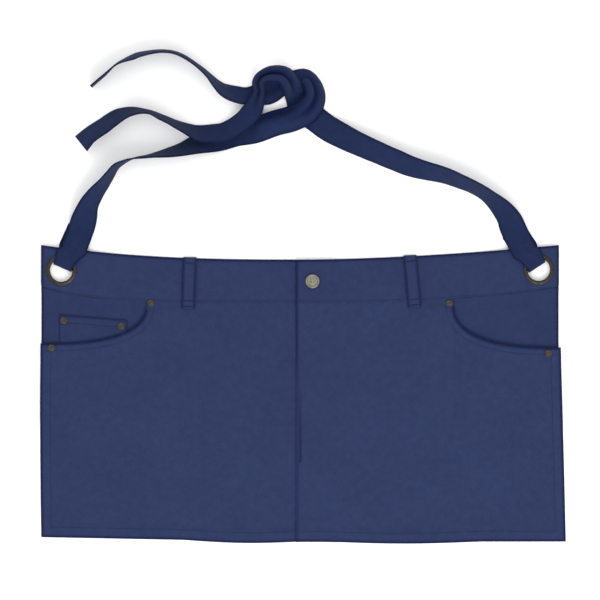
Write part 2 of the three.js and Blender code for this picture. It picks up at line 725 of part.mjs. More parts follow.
const coinLeft = -skirt.halfWidth + coin.inset;
const coinRight = coinLeft + coin.width;
const rivetDrop = rivet.diameter * 0.84;
const mouthCornerX = skirt.halfWidth - pocket.mouthWidth - rivet.diameter * 0.6;
const sideRivetX = skirt.halfWidth - rivet.diameter * 1.45;
const rivets = [
  { x: -sideRivetX, y: skirt.length - pocket.mouthDepthLeft - rivet.diameter * 0.62, surface: hemTop },
  { x: coinLeft + rivet.diameter * 0.66, y: coinTop(coinLeft) - rivetDrop, surface: coinSurface },
  { x: coinRight - rivet.diameter * 0.78, y: coinTop(coinRight) - rivetDrop, surface: coinSurface },
  { x: -mouthCornerX, y: skirt.length - rivet.diameter * 0.1, surface: clothTop },
  { x: mouthCornerX, y: skirt.length - rivet.diameter * 0.15, surface: clothTop },
  { x: sideRivetX, y: skirt.length - pocket.mouthDepthRight - rivet.diameter * 0.8, surface: hemTop },
];
rivets.forEach(({ x, y, surface }, i) => {
  add(`rivet_${i + 1}`, rivetHead(), rivetBrass, x, y, seatZ(x, y, surface));
});

eyelets.forEach((place) => {
  add(place.side < 0 ? 'eyelet_left' : 'eyelet_right', eyeletRing(), eyeletMetal, place.x, place.y, 0);
});

const leftRows = [
  ...leadRows(leadLeft, eyelets[0]),
  ...knotRows(knotLeft),
  ...endRows(freeA, endA.reach, -1.14, 0.19),
];
const rightRows = [
  ...leadRows(leadRight, eyelets[1]),
  ...knotRows(knotRight),
  ...endRows(freeB, endB.reach, -1.31, -0.58),
];
add('strap_left', strapBody(eyelets[0], THREE.MathUtils.degToRad(66), leftRows), tieCloth);
add('strap_right', strapBody(eyelets[1], THREE.MathUtils.degToRad(123), rightRows), tieCloth);

// The origin is under the middle of the whole thing, on the surface that it lies on
const bounds = new THREE.Box3().setFromObject(apron);
const middle = bounds.getCenter(new THREE.Vector3());
apron.position.set(-middle.x, -middle.y, -bounds.min.z);
const model = new THREE.Group();
model.add(apron);

export default model;
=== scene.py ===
import math

import bpy
import numpy as np
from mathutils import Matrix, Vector


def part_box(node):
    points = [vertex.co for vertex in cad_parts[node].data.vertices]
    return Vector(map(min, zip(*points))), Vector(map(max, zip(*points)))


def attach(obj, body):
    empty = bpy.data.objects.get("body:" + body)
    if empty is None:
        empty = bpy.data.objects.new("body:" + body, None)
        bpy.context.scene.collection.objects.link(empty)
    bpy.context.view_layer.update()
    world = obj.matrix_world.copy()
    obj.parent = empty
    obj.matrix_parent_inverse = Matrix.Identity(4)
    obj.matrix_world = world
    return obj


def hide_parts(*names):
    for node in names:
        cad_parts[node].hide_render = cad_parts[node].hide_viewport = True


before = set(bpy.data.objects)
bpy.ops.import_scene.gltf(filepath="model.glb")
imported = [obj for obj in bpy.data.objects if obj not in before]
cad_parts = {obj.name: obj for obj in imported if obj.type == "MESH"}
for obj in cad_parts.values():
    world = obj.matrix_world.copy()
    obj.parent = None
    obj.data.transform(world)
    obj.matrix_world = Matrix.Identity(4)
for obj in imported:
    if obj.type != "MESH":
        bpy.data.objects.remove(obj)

bl_info = {
    "name": "Twill Waist Apron",
    "version": (1, 0, 0),
    "blender": (4, 5, 0),
    "location": "3D View > Sidebar > Apron",
    "description": "Dresses the frame of a waist apron in sewn twill, knotted ties and aged metal",
    "category": "Object",
}

MM = 0.001
TAU = 2 * math.pi


def node_box(node):
    """Lowest and highest corner of a frame node, as arrays in metres."""
    low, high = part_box(node)
    return np.array(low), np.array(high)


def node_centre(node):
    low, high = node_box(node)
    return (low + high) / 2


# A side is -1 or 1: left and right as seen from above, with the waistband up
SIDE_NAME = {-1: "left", 1: "right"}
# The plan is measured from the middle of the seam between the skirt and the band
EYELET_PLACE = {side: node_centre(f"eyelet_{name}") for side, name in SIDE_NAME.items()}
MIDDLE_X = float(EYELET_PLACE[-1][0] + EYELET_PLACE[1][0]) / 2
SEAM_Y = float(node_box("waistband_left")[0][1])
HALF_WIDTH = float(node_box("waistband_right")[1][0]) - MIDDLE_X


def length_property(name, description, default):
    return bpy.props.FloatProperty(
        name=name, description=description, default=default, subtype="DISTANCE", unit="LENGTH", precision=5
    )


def colour_property(name, description, default):
    return bpy.props.FloatVectorProperty(
        name=name, description=description, default=default, subtype="COLOR", size=3, min=0, max=1
    )


class ApronSizes(bpy.types.PropertyGroup):
    """Sizes of the cloth panels"""

    half_width: length_property("Half width", "From the centre to a side edge at the band", HALF_WIDTH)
    flare: length_property("Flare", "How far the right side edge leans out at the hem", 9 * MM)
    skirt_length: length_property("Skirt length", "From the seam to the hem at the centre", 296 * MM)
    cloth: length_property("Cloth", "Thickness of one layer of twill", 1.2 * MM)
    gap: length_property("Gap", "Air between two layers that touch", 0.3 * MM)
    hem_width: length_property("Hem width", "Width of the turned hem", 14 * MM)
    hem_thickness: length_property("Hem thickness", "Thickness of the turned hem", 2.3 * MM)
    band_height: length_property("Band height", "Height of the waistband", 53 * MM)
    band_thickness: length_property("Band thickness", "Thickness of the waistband", 2.6 * MM)
    band_rise: length_property("Band rise", "How far the top edge rises to the sides", 18 * MM)
    seam_rise: length_property("Seam rise", "How far the seam rises to the sides", 19 * MM)
    lap_edge: length_property("Lap edge", "Where the right front's edge lies", -5 * MM)
    lap_width: length_property("Lap width", "How far the right front laps over the left", 38 * MM)
    lap_slope: length_property("Lap slope", "How far the lapped cloth takes to come down", 22 * MM)
    mouth_width: length_property("Mouth width", "Width of a pocket mouth", 130 * MM)
    mouth_depth_left: length_property("Left mouth depth", "Depth of the left pocket mouth", 50.5 * MM)
    mouth_depth_right: length_property("Right mouth depth", "Depth of the right pocket mouth", 55.5 * MM)
    mouth_gape: length_property("Mouth gape", "How far a pocket mouth stands open", 2 * MM)
    bag_width: length_property("Bag width", "Width of a pocket bag", 146 * MM)
    bag_depth: length_property("Bag depth", "Depth of a pocket bag", 140 * MM)
    coin_width: length_property("Coin pocket width", "Width of the coin pocket", 84 * MM)
    coin_inset: length_property("Coin pocket inset", "From the side edge to the coin pocket", 22 * MM)
    coin_below: length_property("Coin pocket drop", "From the seam's level to the coin pocket's top", 15 * MM)
    coin_thickness: length_property("Coin pocket thickness", "Thickness of the coin pocket", 1.0 * MM)
    stitch_pitch: length_property("Stitch pitch", "From one topstitch to the next", 3.4 * MM)
    stitch_radius: length_property("Thread radius", "Half the width of a topstitch", 0.34 * MM)
    grid: length_property("Grid", "Spacing of the cloth's mesh", 2.4 * MM)


class TieSizes(bpy.types.PropertyGroup):
    """Sizes of the ties and of their knot"""

    width: length_property("Tie width", "Width of a tie", 32 * MM)
    thickness: length_property("Tie thickness", "Thickness of a tie", 1.8 * MM)
    gap: length_property("Gap", "Air between two layers that touch", 0.3 * MM)
    through_width: length_property("Width in the eyelet", "Width of a tie inside its eyelet", 24.4 * MM)
    fold_back: length_property("Fold back", "From the eyelet to the sewn end behind", 57 * MM)
    knot_half: length_property("Knot half size", "Half the size of the knot", 44.6 * MM)
    knot_left: length_property("Knot offset", "From the apron's centre to the knot's, to the left", 12.4 * MM)
    knot_above: length_property("Knot height", "From the eyelets to the knot", 207 * MM)
    reach_a: length_property("Upper end", "Reach of the upper free end", 194 * MM)
    reach_b: length_property("Lower end", "Reach of the lower free end", 199 * MM)
    spacing: length_property("Section spacing", "From one section of a tie to the next", 2.2 * MM)


class ApronColours(bpy.types.PropertyGroup):
    """Colours of the cloth, the thread and the metal"""

    twill: colour_property("Twill", "Colour of the panels", (0.021, 0.0312, 0.085))
    tie: colour_property("Tie", "Colour of the ties", (0.0105, 0.0188, 0.061))
    thread: colour_property("Thread", "Colour of the topstitching", (0.0145, 0.0225, 0.066))
    button: colour_property("Button", "Colour of the tack button", (0.27, 0.255, 0.21))
    rivet: colour_property("Rivets", "Colour of the rivets", (0.075, 0.066, 0.047))
    eyelet: colour_property("Eyelets", "Colour of the eyelets", (0.05, 0.045, 0.035))
    floor: colour_property("Floor", "Colour of the floor", (0.98, 0.98, 0.98))


def ramp(value, start, end):
    """Smooth step from 0 at start to 1 at end, either way round."""
    share = np.clip((value - start) / (end - start), 0, 1)
    return share * share * (3 - 2 * share)


def bump(value, centre, spread):
    return np.exp(-(((value - centre) / spread) ** 2))


def ripple(x, y, wavelength, seed):
    """Smooth, repeatable unevenness of about -1 to 1."""
    draw = np.random.default_rng(seed)
    total = 0
    for _ in range(7):
        turn, phase, stretch = draw.uniform(0, TAU), draw.uniform(0, TAU), draw.uniform(0.7, 1.5)
        across = x * math.cos(turn) + y * math.sin(turn)
        total = total + np.sin(across * TAU / (wavelength * stretch) + phase)
    return total / 3.2


# The hem's rise to each side and its sag between two shares of the half width, as shares of the skirt's length
HEM_LINE = {
    -1: {"rise": 0.0186, "sag": 0.0088, "from": 0.0, "to": 0.45},
    1: {"rise": 0.0, "sag": 0.0085, "from": 0.1, "to": 0.68},
}
# Soft creases, each from one place to another, as shares of the half width and of the skirt's length
CREASES = [
    {"x": -0.22, "y": -0.20, "to_x": 0.00, "to_y": -0.73, "rise": 1.1 * MM, "spread": 13 * MM},
    {"x": 0.12, "y": -0.60, "to_x": 0.02, "to_y": -0.75, "rise": 0.8 * MM, "spread": 12 * MM},
    {"x": -0.46, "y": -0.30, "to_x": -0.45, "to_y": -0.58, "rise": 0.9 * MM, "spread": 11 * MM},
    {"x": 0.50, "y": -0.40, "to_x": 0.56, "to_y": -0.58, "rise": 0.9 * MM, "spread": 13 * MM},
    {"x": -0.80, "y": -0.70, "to_x": -0.62, "to_y": -0.88, "rise": 0.8 * MM, "spread": 16 * MM},
    {"x": 0.78, "y": -0.66, "to_x": 0.86, "to_y": -0.88, "rise": 0.8 * MM, "spread": 15 * MM},
]
# How square the curve of a pocket mouth is, where 2 would be an ellipse, and how much of its box it fills
ROUNDNESS = 2.6
MOUTH_FILL = 0.84
# Where the rows of stitches run, in from the edge of their cloth. The hem's is a share of its width
HEM_ROW = 0.91
POCKET_ROWS = (1.9 * MM, 9.2 * MM)
FRONT_ROW = 2.6 * MM
BAND_ROW = 2.2 * MM
BAND_END_ROW = 2.4 * MM
LOOP_ROW = 2.2 * MM
TIE_ROW = 2.4 * MM
# Half the width of the groove that a row of stitches draws into the cloth
GROOVE = 0.6 * MM
# How far the painted line of shade lies in from an edge, and half its width; the second pair is for the
# painted shadow along a lapped edge
EDGE_SHADE_LINE = (0.8 * MM, 2.1 * MM)
LAP_SHADE_LINE = (0.5 * MM, 1.3 * MM)
# Radius of each cloth's rolled edge
ROLL = {
    "skirt": 1.3 * MM, "band": 1.5 * MM, "seam": 0.9 * MM,
    "pocket": 1 * MM, "coin": 1.2 * MM, "tie": 1.1 * MM,
}
# Slopes of the cloth, each from where it starts to climb to where it is up: around a pocket bag,
# along the band towards an eyelet, at the inner end of a mouth's facing, and below the seam to the band
BAG_SLOPE = (42 * MM, 19 * MM)
EYELET_SLOPE = (83.6 * MM, 23.6 * MM)
FACING_SLOPE = (11.5 * MM, 10 * MM)
SEAM_SLOPE = (13 * MM, 1.5 * MM)


class Pattern:
    """The apron's outline and the height of its cloth, as functions of place in the plan."""

    def __init__(self, sizes, ties):
        self.s = sizes
        self.t = ties
        self.eyelet = {side: (place[0] - MIDDLE_X, place[1] - SEAM_Y) for side, place in EYELET_PLACE.items()}

    def share_out(self, x):
        return np.minimum(np.abs(x) / self.s.half_width, 1)

    def side_x(self, side, y):
        down = np.clip(-y / self.s.skirt_length, 0, 1)
        bulge = 1.5 * MM * np.sin(math.pi * down)
        return side * (self.s.half_width + (self.s.flare * down**0.8 if side > 0 else bulge))

    def seam_y(self, x):
        return self.s.seam_rise * self.share_out(x) ** np.where(x < 0, 5, 2.6)

    def top_y(self, x):
        return self.s.band_height + self.s.band_rise * self.share_out(x) ** np.where(x < 0, 2.6, 1.7)

    def inner_edge(self, side):
        """Where a front ends at the middle. The right one laps over the left one."""
        return self.s.lap_edge if side > 0 else self.s.lap_edge + self.s.lap_width

    def hem_y(self, x):
        result = 0
        for side, line in HEM_LINE.items():
            share = np.clip((self.share_out(x) - line["from"]) / (line["to"] - line["from"]), 0, 1)
            shift = line["rise"] * self.share_out(x) ** 1.2 - line["sag"] * np.sin(math.pi * share)
            result = result + np.where((x < 0) == (side < 0), shift, 0)
        return self.s.skirt_length * (result - 1)

    def mouth_depth(self, x):
        return np.where(x < 0, self.s.mouth_depth_left, self.s.mouth_depth_right)

    def mouth_share(self, x, y):
        across = np.maximum(self.s.half_width - np.abs(x), 0) / self.s.mouth_width
        down = np.maximum(-y, 0) / self.mouth_depth(x)
        return (across**ROUNDNESS + down**ROUNDNESS) ** (1 / ROUNDNESS)

    def mouth_distance(self, x, y):
        """Distance outside the pocket mouth's edge, worked out from the slope of mouth_share."""
        step = 0.1 * MM
        share = self.mouth_share(x, y)
        slope_x = (self.mouth_share(x + step, y) - self.mouth_share(x - step, y)) / (2 * step)
        slope_y = (self.mouth_share(x, y + step) - self.mouth_share(x, y - step)) / (2 * step)
        return (share - 1) / np.maximum(np.hypot(slope_x, slope_y), 1e-3)

    def mouth_y(self, x):
        """The mouth's edge at x, or the seam where there is no mouth."""
        across = (self.s.half_width - np.abs(x)) / self.s.mouth_width
        down = np.clip(1 - np.clip(across, 0, 1) ** ROUNDNESS, 0, 1) ** (1 / ROUNDNESS)
        return np.where(across < 1, -down * self.mouth_depth(x), self.seam_y(x))

    def drape(self, x, y):
        """Gentle unevenness of cloth that lies loose."""
        inside = ramp(y, self.s.hem_width - self.s.skirt_length, 3 * self.s.hem_width - self.s.skirt_length)
        broad = 0.30 * MM * (1 + ripple(x, y, 95 * MM, 4))
        small = 0.10 * MM * (1 + ripple(x, y, 34 * MM, 9))
        return (broad + small) * (0.35 + 0.65 * inside)

    def crease_lift(self, x, y):
        lift = 0
        for crease in CREASES:
            start = np.array([crease["x"] * self.s.half_width, crease["y"] * self.s.skirt_length])
            run = np.array([crease["to_x"] * self.s.half_width, crease["to_y"] * self.s.skirt_length]) - start
            along = np.clip(((x - start[0]) * run[0] + (y - start[1]) * run[1]) / (run @ run), 0, 1)
            away = np.hypot(x - start[0] - along * run[0], y - start[1] - along * run[1])
            lift = lift + crease["rise"] * bump(away, 0, crease["spread"])
        edge = ramp(np.abs(x), self.s.half_width - 4 * MM, self.s.half_width - 30 * MM)
        return lift * edge * ramp(y, 6 * MM - self.s.skirt_length, 34 * MM - self.s.skirt_length)

    def lap_lift(self, x, thickness):
        laid = self.s.lap_edge + self.s.lap_width
        return (thickness + 3 * self.s.gap) * ramp(x, laid + self.s.lap_slope, laid)

    def skirt_floor(self, x, y, lap):
        inward = self.s.half_width - np.abs(x)
        below = self.seam_y(x) - y
        bag = ramp(inward, *(self.s.bag_width + edge for edge in BAG_SLOPE))
        bag = bag * ramp(below, *(self.s.bag_depth + edge for edge in BAG_SLOPE))
        near = ramp(self.mouth_share(x, y), 1.4, 1.14)
        from_side, from_seam = ramp(inward, 4 * MM, 30 * MM), ramp(below, 0, 14 * MM)
        mouth = self.s.mouth_gape * near * (0.75 + 0.25 * from_side) * (0.6 + 0.4 * from_seam)
        lift = (self.s.cloth + self.s.gap) * bag + mouth + self.crease_lift(x, y) + self.drape(x, y)
        if lap:
            low = y < 2 * self.s.hem_width - self.s.skirt_length
            lift = lift + self.lap_lift(x, np.where(low, self.s.hem_thickness, self.s.cloth))
        return lift

    def band_floor(self, x, y, lap):
        raised = self.t.thickness + 0.8 * MM + 2 * self.s.gap
        lift = 0.06 * MM * (1 + ripple(x, y, 60 * MM, 12))
        for side in (-1, 1):
            across = ramp(np.abs(x - self.eyelet[side][0]), *EYELET_SLOPE)
            lift = lift + raised * across * ramp(y, self.seam_y(x), self.seam_y(x) + 3.7 * MM)
        return lift + (self.lap_lift(x, self.s.band_thickness) if lap else 0)

    def coin_top(self, x):
        return -self.s.coin_below - 0.08 * (x + self.s.half_width - self.s.coin_inset)


def clear_selection():
    if bpy.context.object and bpy.context.object.mode != "OBJECT":
        bpy.ops.object.mode_set(mode="OBJECT")
    bpy.ops.object.select_all(action="DESELECT")


def pick(piece):
    clear_selection()
    piece.select_set(True)
    bpy.context.view_layer.objects.active = piece


def apply_modifier(piece, kind, **settings):
    pick(piece)
    modifier = piece.modifiers.new(kind.title(), kind)
    for name, value in settings.items():
        setattr(modifier, name, value)
    bpy.ops.object.modifier_apply(modifier=modifier.name)


def settle(piece):
    """Puts the place, turn and scale of a new piece into its mesh."""
    pick(piece)
    bpy.ops.object.transform_apply(location=True, rotation=True, scale=True)


def discard(helper):
    """Removes a helper object and its mesh."""
    spare = helper.data
    bpy.data.objects.remove(helper)
    bpy.data.meshes.remove(spare)


def mesh_piece(name, vertices, faces):
    mesh = bpy.data.meshes.new(name)
    mesh.from_pydata(vertices.tolist(), [], faces)
    mesh.update()
    mesh.polygons.foreach_set("use_smooth", [True] * len(mesh.polygons))
    piece = bpy.data.objects.new(name, mesh)
    bpy.context.scene.collection.objects.link(piece)
    return piece


def closed_sheet(name, low, high, cloth_uv, marks):
    """A closed wall between two grids of points, with the cloth's own UV map and marks on its points."""
    rows, columns = low.shape[:2]
    shift = rows * columns
    number = np.arange(shift).reshape(rows, columns)
    a, b, c, d = number[:-1, :-1], number[:-1, 1:], number[1:, 1:], number[1:, :-1]
    over = np.stack([a, b, c, d], axis=-1).reshape(-1, 4) + shift
    under = np.stack([a, d, c, b], axis=-1).reshape(-1, 4)
    rim = np.concatenate([number[0, :], number[1:, -1], number[-1, -2::-1], number[-2:0:-1, 0]])
    following = np.roll(rim, -1)
    walls = np.stack([rim, following, following + shift, rim + shift], axis=-1)
    faces = np.concatenate([over, under, walls])
    piece = mesh_piece(name, np.concatenate([low.reshape(-1, 3), high.reshape(-1, 3)]), faces.tolist())
    layer = piece.data.uv_layers.new(name="cloth")
    flat = np.concatenate([cloth_uv.reshape(-1, 2)] * 2)
    layer.data.foreach_set("uv", flat[faces.reshape(-1)].reshape(-1))
    for mark, values in marks.items():
        attribute = piece.data.attributes.new(mark, "FLOAT", "POINT")
        attribute.data.foreach_set("value", np.concatenate([values.reshape(-1)] * 2))
    return piece


def edge_stops(size):
    """Distances from an edge that follow its roll, the hem's stitch line and the hem's step."""
    shares = [0, 0.03, 0.08, 0.16, 0.3, 0.45, 0.6, 0.75, 0.86, 0.92, 0.97, 1.03, 1.1, 1.22]
    return [share * size for share in shares]


def rolled(distance, radius):
    """How much of the thickness a rolled edge loses, from 1 at the edge to 0 inside."""
    return np.clip(1 - distance / radius, 0, 1) ** 2


def distance_along(points):
    """The distance of each point from the first one, along the line through them."""
    steps = np.linalg.norm(np.diff(points, axis=0), axis=1)
    return np.concatenate([[0], np.cumsum(steps)])


def smallest(*values):
    return np.minimum.reduce(np.broadcast_arrays(*values))


def placed(x, y, z):
    return np.stack([x + MIDDLE_X, y + SEAM_Y, z], axis=-1)


def plan_sheet(name, x, y, low, high, wear_and_shade, groove_and_shade):
    """A closed sheet from its places in the plan, its heights and its marks."""
    marks = {"wear_and_shade": wear_and_shade, "groove_and_shade": groove_and_shade}
    return closed_sheet(name, placed(x, y, low), placed(x, y, high), np.stack([x, y], -1), marks)


def skirt_columns(pattern, side):
    """Distances in from the side edge: close at the edges, even between, and by equal turns at the mouth."""
    s = pattern.s
    total = s.half_width - side * pattern.inner_edge(side)
    hem = edge_stops(s.hem_width)
    turns = np.linspace(math.pi / 2, 0, 74)
    mouth = [s.mouth_width * math.cos(turn) ** (2 / ROUNDNESS) for turn in turns]
    mouth = [value for value in mouth if value > hem[-1] + s.grid / 2]
    even = list(np.linspace(s.mouth_width, total - 8 * MM, int((total - s.mouth_width) / s.grid)))[1:]
    inner = [total - value * MM for value in (5, 3.4, 2.5, 1.7, 1, 0.4, 0)]
    return np.array(hem + mouth + even + inner)


# How far below the seam a mouth's edge is sewn under the band
SEWN_DEPTH = 12 * MM


def skirt_surface(pattern, side, x, y):
    """Height of the underside and of the top of a skirt panel, and its marks: wear and painted shade along its
    edges, a painted shadow along the lapped front's edge, and stitch grooves darkened with painted shade.

    Near the seam both surfaces run into the band's, and the mouth's edge there is sewn under the band.
    """
    s = pattern.s
    lap = side > 0
    from_side = np.abs(pattern.side_x(side, y) - x)
    from_bottom = y - pattern.hem_y(x)
    from_inner = side * (x - pattern.inner_edge(side))
    from_mouth = np.maximum(pattern.mouth_distance(x, y), 0)
    from_seam = pattern.seam_y(x) - y
    hem = smallest(from_side, from_bottom)
    floor = pattern.skirt_floor(x, y, lap)
    thickness = s.cloth + (s.hem_thickness - s.cloth) * ramp(hem, s.hem_width * 1.3, s.hem_width * 0.8)
    sewn = ramp(s.half_width - np.abs(x), s.mouth_width - 3 * MM, s.mouth_width + 2 * MM)
    sewn = sewn * ramp(from_seam, SEWN_DEPTH, 4 * MM)
    in_hem = ramp(hem, s.hem_width, s.hem_width * 0.8)
    facing = 0.25 * MM * ramp(from_mouth, *FACING_SLOPE) * (1 - in_hem)
    band = pattern.band_floor(x, pattern.seam_y(x), lap)
    joined = ramp(from_seam, *SEAM_SLOPE)
    pucker = ripple(x, y, 9 * MM, 21 + side)
    hem_pucker = 0.10 * MM * pucker * bump(hem, s.hem_width * 0.9, 5 * MM)
    mouth_pucker = 0.12 * MM * pucker * bump(from_mouth, 7 * MM, 6 * MM)
    seam_pucker = 0.14 * MM * ripple(x, y * 0.35, 13 * MM, 31) * bump(from_seam, 6 * MM, 5 * MM)
    outside = smallest(from_side, from_bottom, from_mouth + SEWN_DEPTH * sewn)
    edge = smallest(outside, from_inner)
    loss = rolled(edge, ROLL["skirt"])
    top = floor + thickness + facing + hem_pucker + mouth_pucker + seam_pucker
    top = top + joined * (band + s.band_thickness - 0.25 * MM - top)
    low = floor + 0.25 * s.cloth * loss
    low = low + joined * (band - low)
    top = np.maximum(top - 0.45 * thickness * loss, low + 0.3 * s.cloth)
    # Stitch grooves, which the material also darkens with painted shade
    lines = [
        0.2 * bump(hem, s.hem_width * HEM_ROW, GROOVE),
        0.6 * bump(from_mouth, POCKET_ROWS[0], GROOVE) * (1 - sewn),
        0.35 * bump(from_mouth, POCKET_ROWS[1], 0.7 * MM) * (1 - sewn),
        bump(from_inner, FRONT_ROW, GROOVE) * (1 if lap else 0),
    ]
    groove_and_shade = np.clip(sum(lines), 0, 1)
    # Painted shadow along the lapped right front's edge, fading out lower down, and painted shade along the
    # rolled outer edges
    fly_shadow = bump(from_inner, *LAP_SHADE_LINE) * (1 - 0.6 * ramp(-y, 55 * MM, 95 * MM))
    wear_and_shade = np.clip(1.2 * bump(outside, *EDGE_SHADE_LINE) + fly_shadow, 0, 1)
    return low, top, wear_and_shade, groove_and_shade


def skirt_piece(pattern, side):
    """A skirt panel, with rows of points that follow its hem and its top edge."""
    s = pattern.s
    inward = skirt_columns(pattern, side)
    total = s.half_width - side * pattern.inner_edge(side)
    rough_x = side * (s.half_width - inward)
    top_line = pattern.mouth_y(rough_x)
    bottom_line = pattern.hem_y(rough_x)
    foot = edge_stops(s.hem_width)
    head = [value * MM for value in (0, 0.4, 1.0, 1.9, 3.2, 5, 7, 8.4, 9.2, 10, 11.5)]
    middle = np.linspace(0, 1, int((s.skirt_length - foot[-1] - head[-1]) / s.grid))[1:-1]
    rows = [bottom_line + value for value in foot]
    rows += [(1 - v) * (bottom_line + foot[-1]) + v * (top_line - head[-1]) for v in middle]
    rows += [top_line - value for value in head[::-1]]
    y = np.stack(rows)
    lean = pattern.side_x(side, y) - side * s.half_width
    x = rough_x[None, :] + lean * (1 - inward[None, :] / total)
    if side > 0:
        x, y = x[:, ::-1], y[:, ::-1]
    piece = plan_sheet(f"skirt_cloth_{SIDE_NAME[side]}", x, y, *skirt_surface(pattern, side, x, y))
    mouth = s.mouth_width * float(pattern.mouth_depth(side)) * MOUTH_FILL
    finish_cloth(piece, f"skirt_{SIDE_NAME[side]}", "navy_twill")
    width, length = total + s.flare, s.skirt_length + 10 * MM
    total * s.skirt_length - mouth


def finish(piece, material, node=None):
    """Fixes a piece to the apron, in the place of its node if it has one, and gives it its material."""
    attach(piece, "root")
    if node:
        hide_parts(node)
    piece.data.materials.append(material)


def finish_cloth(piece, node, slot):
    colours = bpy.context.scene.apron_colours
    colour = colours.tie if slot == "tie_cloth" else colours.twill
    finish(piece, twill_material(slot, colour), node)


# Materials
class Wire:
    """A value in a material. Arithmetic on it adds Math nodes."""

    def __init__(self, bench, socket):
        self.bench, self.socket = bench, socket

    def math(self, operation, *values):
        return self.bench.node("ShaderNodeMath", {"operation": operation}, dict(enumerate(values)))

    def __add__(self, other):
        return self.math("ADD", self, other)

    __radd__ = __add__

    def __mul__(self, other):
        return self.math("MULTIPLY", self, other)

    __rmul__ = __mul__

    def __sub__(self, other):
        return self.math("SUBTRACT", self, other)

    def __rsub__(self, other):
        return self.math("SUBTRACT", other, self)

    def sine(self):
        return self.math("SINE", self)

    def held(self):
        """The value kept between 0 and 1."""
        return self.math("MINIMUM", self.math("MAXIMUM", self, 0.0), 1.0)


class Bench:
    """Builds one material's nodes."""

    def __init__(self, name):
        self.material = bpy.data.materials.new(name)
        self.material.use_nodes = True
        self.tree = self.material.node_tree
        self.shader = next(n for n in self.tree.nodes if n.type == "BSDF_PRINCIPLED")

    def node(self, kind, settings=None, inputs=None, output=0):
        made = self.tree.nodes.new(kind)
        for name, value in (settings or {}).items():
            setattr(made, name, value)
        for name, value in (inputs or {}).items():
            self.connect(made.inputs[name], value)
        return Wire(self, made.outputs[output])

    def connect(self, socket, value):
        if isinstance(value, Wire):
            self.tree.links.new(value.socket, socket)
        else:
            socket.default_value = value

    def feed(self, **inputs):
        for name, value in inputs.items():
            self.connect(self.shader.inputs[name.replace("_", " ")], value)

    def mark(self, name):
        return self.node("ShaderNodeAttribute", {"attribute_name": name}, output="Fac")

    def noise(self, vector, scale, detail=2.0, roughness=0.5):
        inputs = {"Vector": vector, "Scale": scale, "Detail": detail, "Roughness": roughness}
        return self.node("ShaderNodeTexNoise", {}, inputs, output="Fac")

    def bump(self, strength, distance, height):
        inputs = {"Strength": strength, "Distance": distance, "Height": height}
        return self.node("ShaderNodeBump", {}, inputs)

    def mix(self, share, first, second):
        inputs = {"Factor": share, 6: first, 7: second}
        return self.node("ShaderNodeMix", {"data_type": "RGBA"}, inputs, output=2)


def shade(colour, factor):
    return tuple(min(channel * factor, 1) for channel in colour[:3]) + (1.0,)


MATERIALS = {}


def twill_material(name, colour):
    """Dyed cotton twill: diagonal ribs, uneven yarn, and painted shade in a deeper blue in stitch grooves,
    fold valleys and along edges; the edge mark also lowers the roughness a little, as wear.
    """
    if name in MATERIALS:
        return MATERIALS[name]
    bench = Bench(name)
    cloth = bench.node("ShaderNodeUVMap", {"uv_map": "cloth"}, output="UV")
    u = bench.node("ShaderNodeSeparateXYZ", {}, {"Vector": cloth}, output="X")
    v = Wire(bench, u.socket.node.outputs["Y"])
    rib_pitch, yarn_pitch = 1.05 * MM, 0.62 * MM
    rib = ((u + v) * (TAU / rib_pitch)).sine()
    yarn = ((v - u * 0.35) * (TAU / yarn_pitch)).sine()
    slub = bench.noise(cloth, 420.0, 3.0, 0.6)
    mottle = bench.noise(cloth, 105.0, 3.0, 0.62)
    cloud = bench.noise(cloth, 16.0, 2.0)
    wear_and_shade, groove_and_shade = bench.mark("wear_and_shade"), bench.mark("groove_and_shade")
    tone = (mottle * 1.3 + cloud * 0.7 + slub * 0.6 + rib * 0.05 - 0.8).held()
    base = bench.mix(tone, shade(colour, 0.84), shade(colour, 1.18))
    # Painted shade: the deep blue that stitch grooves, fold valleys and edges are mixed towards
    shade_blue = tuple(channel * share for channel, share in zip(colour, (0.10, 0.18, 0.5))) + (1.0,)
    base = bench.mix((groove_and_shade * 0.45).held(), base, shade_blue)
    base = bench.mix((wear_and_shade * (0.55 + mottle * 0.5)).held(), base, shade_blue)
    height = rib * 0.5 + yarn * 0.3 + slub * 1.1 + mottle * 1.5 - groove_and_shade * 3.0
    normal = bench.bump(0.55, 0.22 * MM, height)
    bench.feed(Base_Color=base, Roughness=(0.86 + slub * 0.1 - wear_and_shade * 0.05).held(), Normal=normal)
    bench.feed(Sheen_Weight=0.04, Sheen_Roughness=0.5, Specular_IOR_Level=0.08)
    MATERIALS[name] = bench.material
    return bench.material


def thread_material(colour):
    """Twisted sewing thread."""
    if "thread" in MATERIALS:
        return MATERIALS["thread"]
    bench = Bench("apron_thread")
    place = bench.node("ShaderNodeTexCoord", {}, output="Object")
    grain = bench.noise(place, 1400.0, 2.0)
    tone = bench.noise(place, 60.0, 2.0)
    base = bench.mix(tone, shade(colour, 0.8), shade(colour, 1.15))
    normal = bench.bump(0.5, 0.1 * MM, grain)
    bench.feed(Base_Color=base, Roughness=(0.62 + grain * 0.2).held(), Normal=normal)
    bench.feed(Specular_IOR_Level=0.1)
    MATERIALS["thread"] = bench.material
    return bench.material


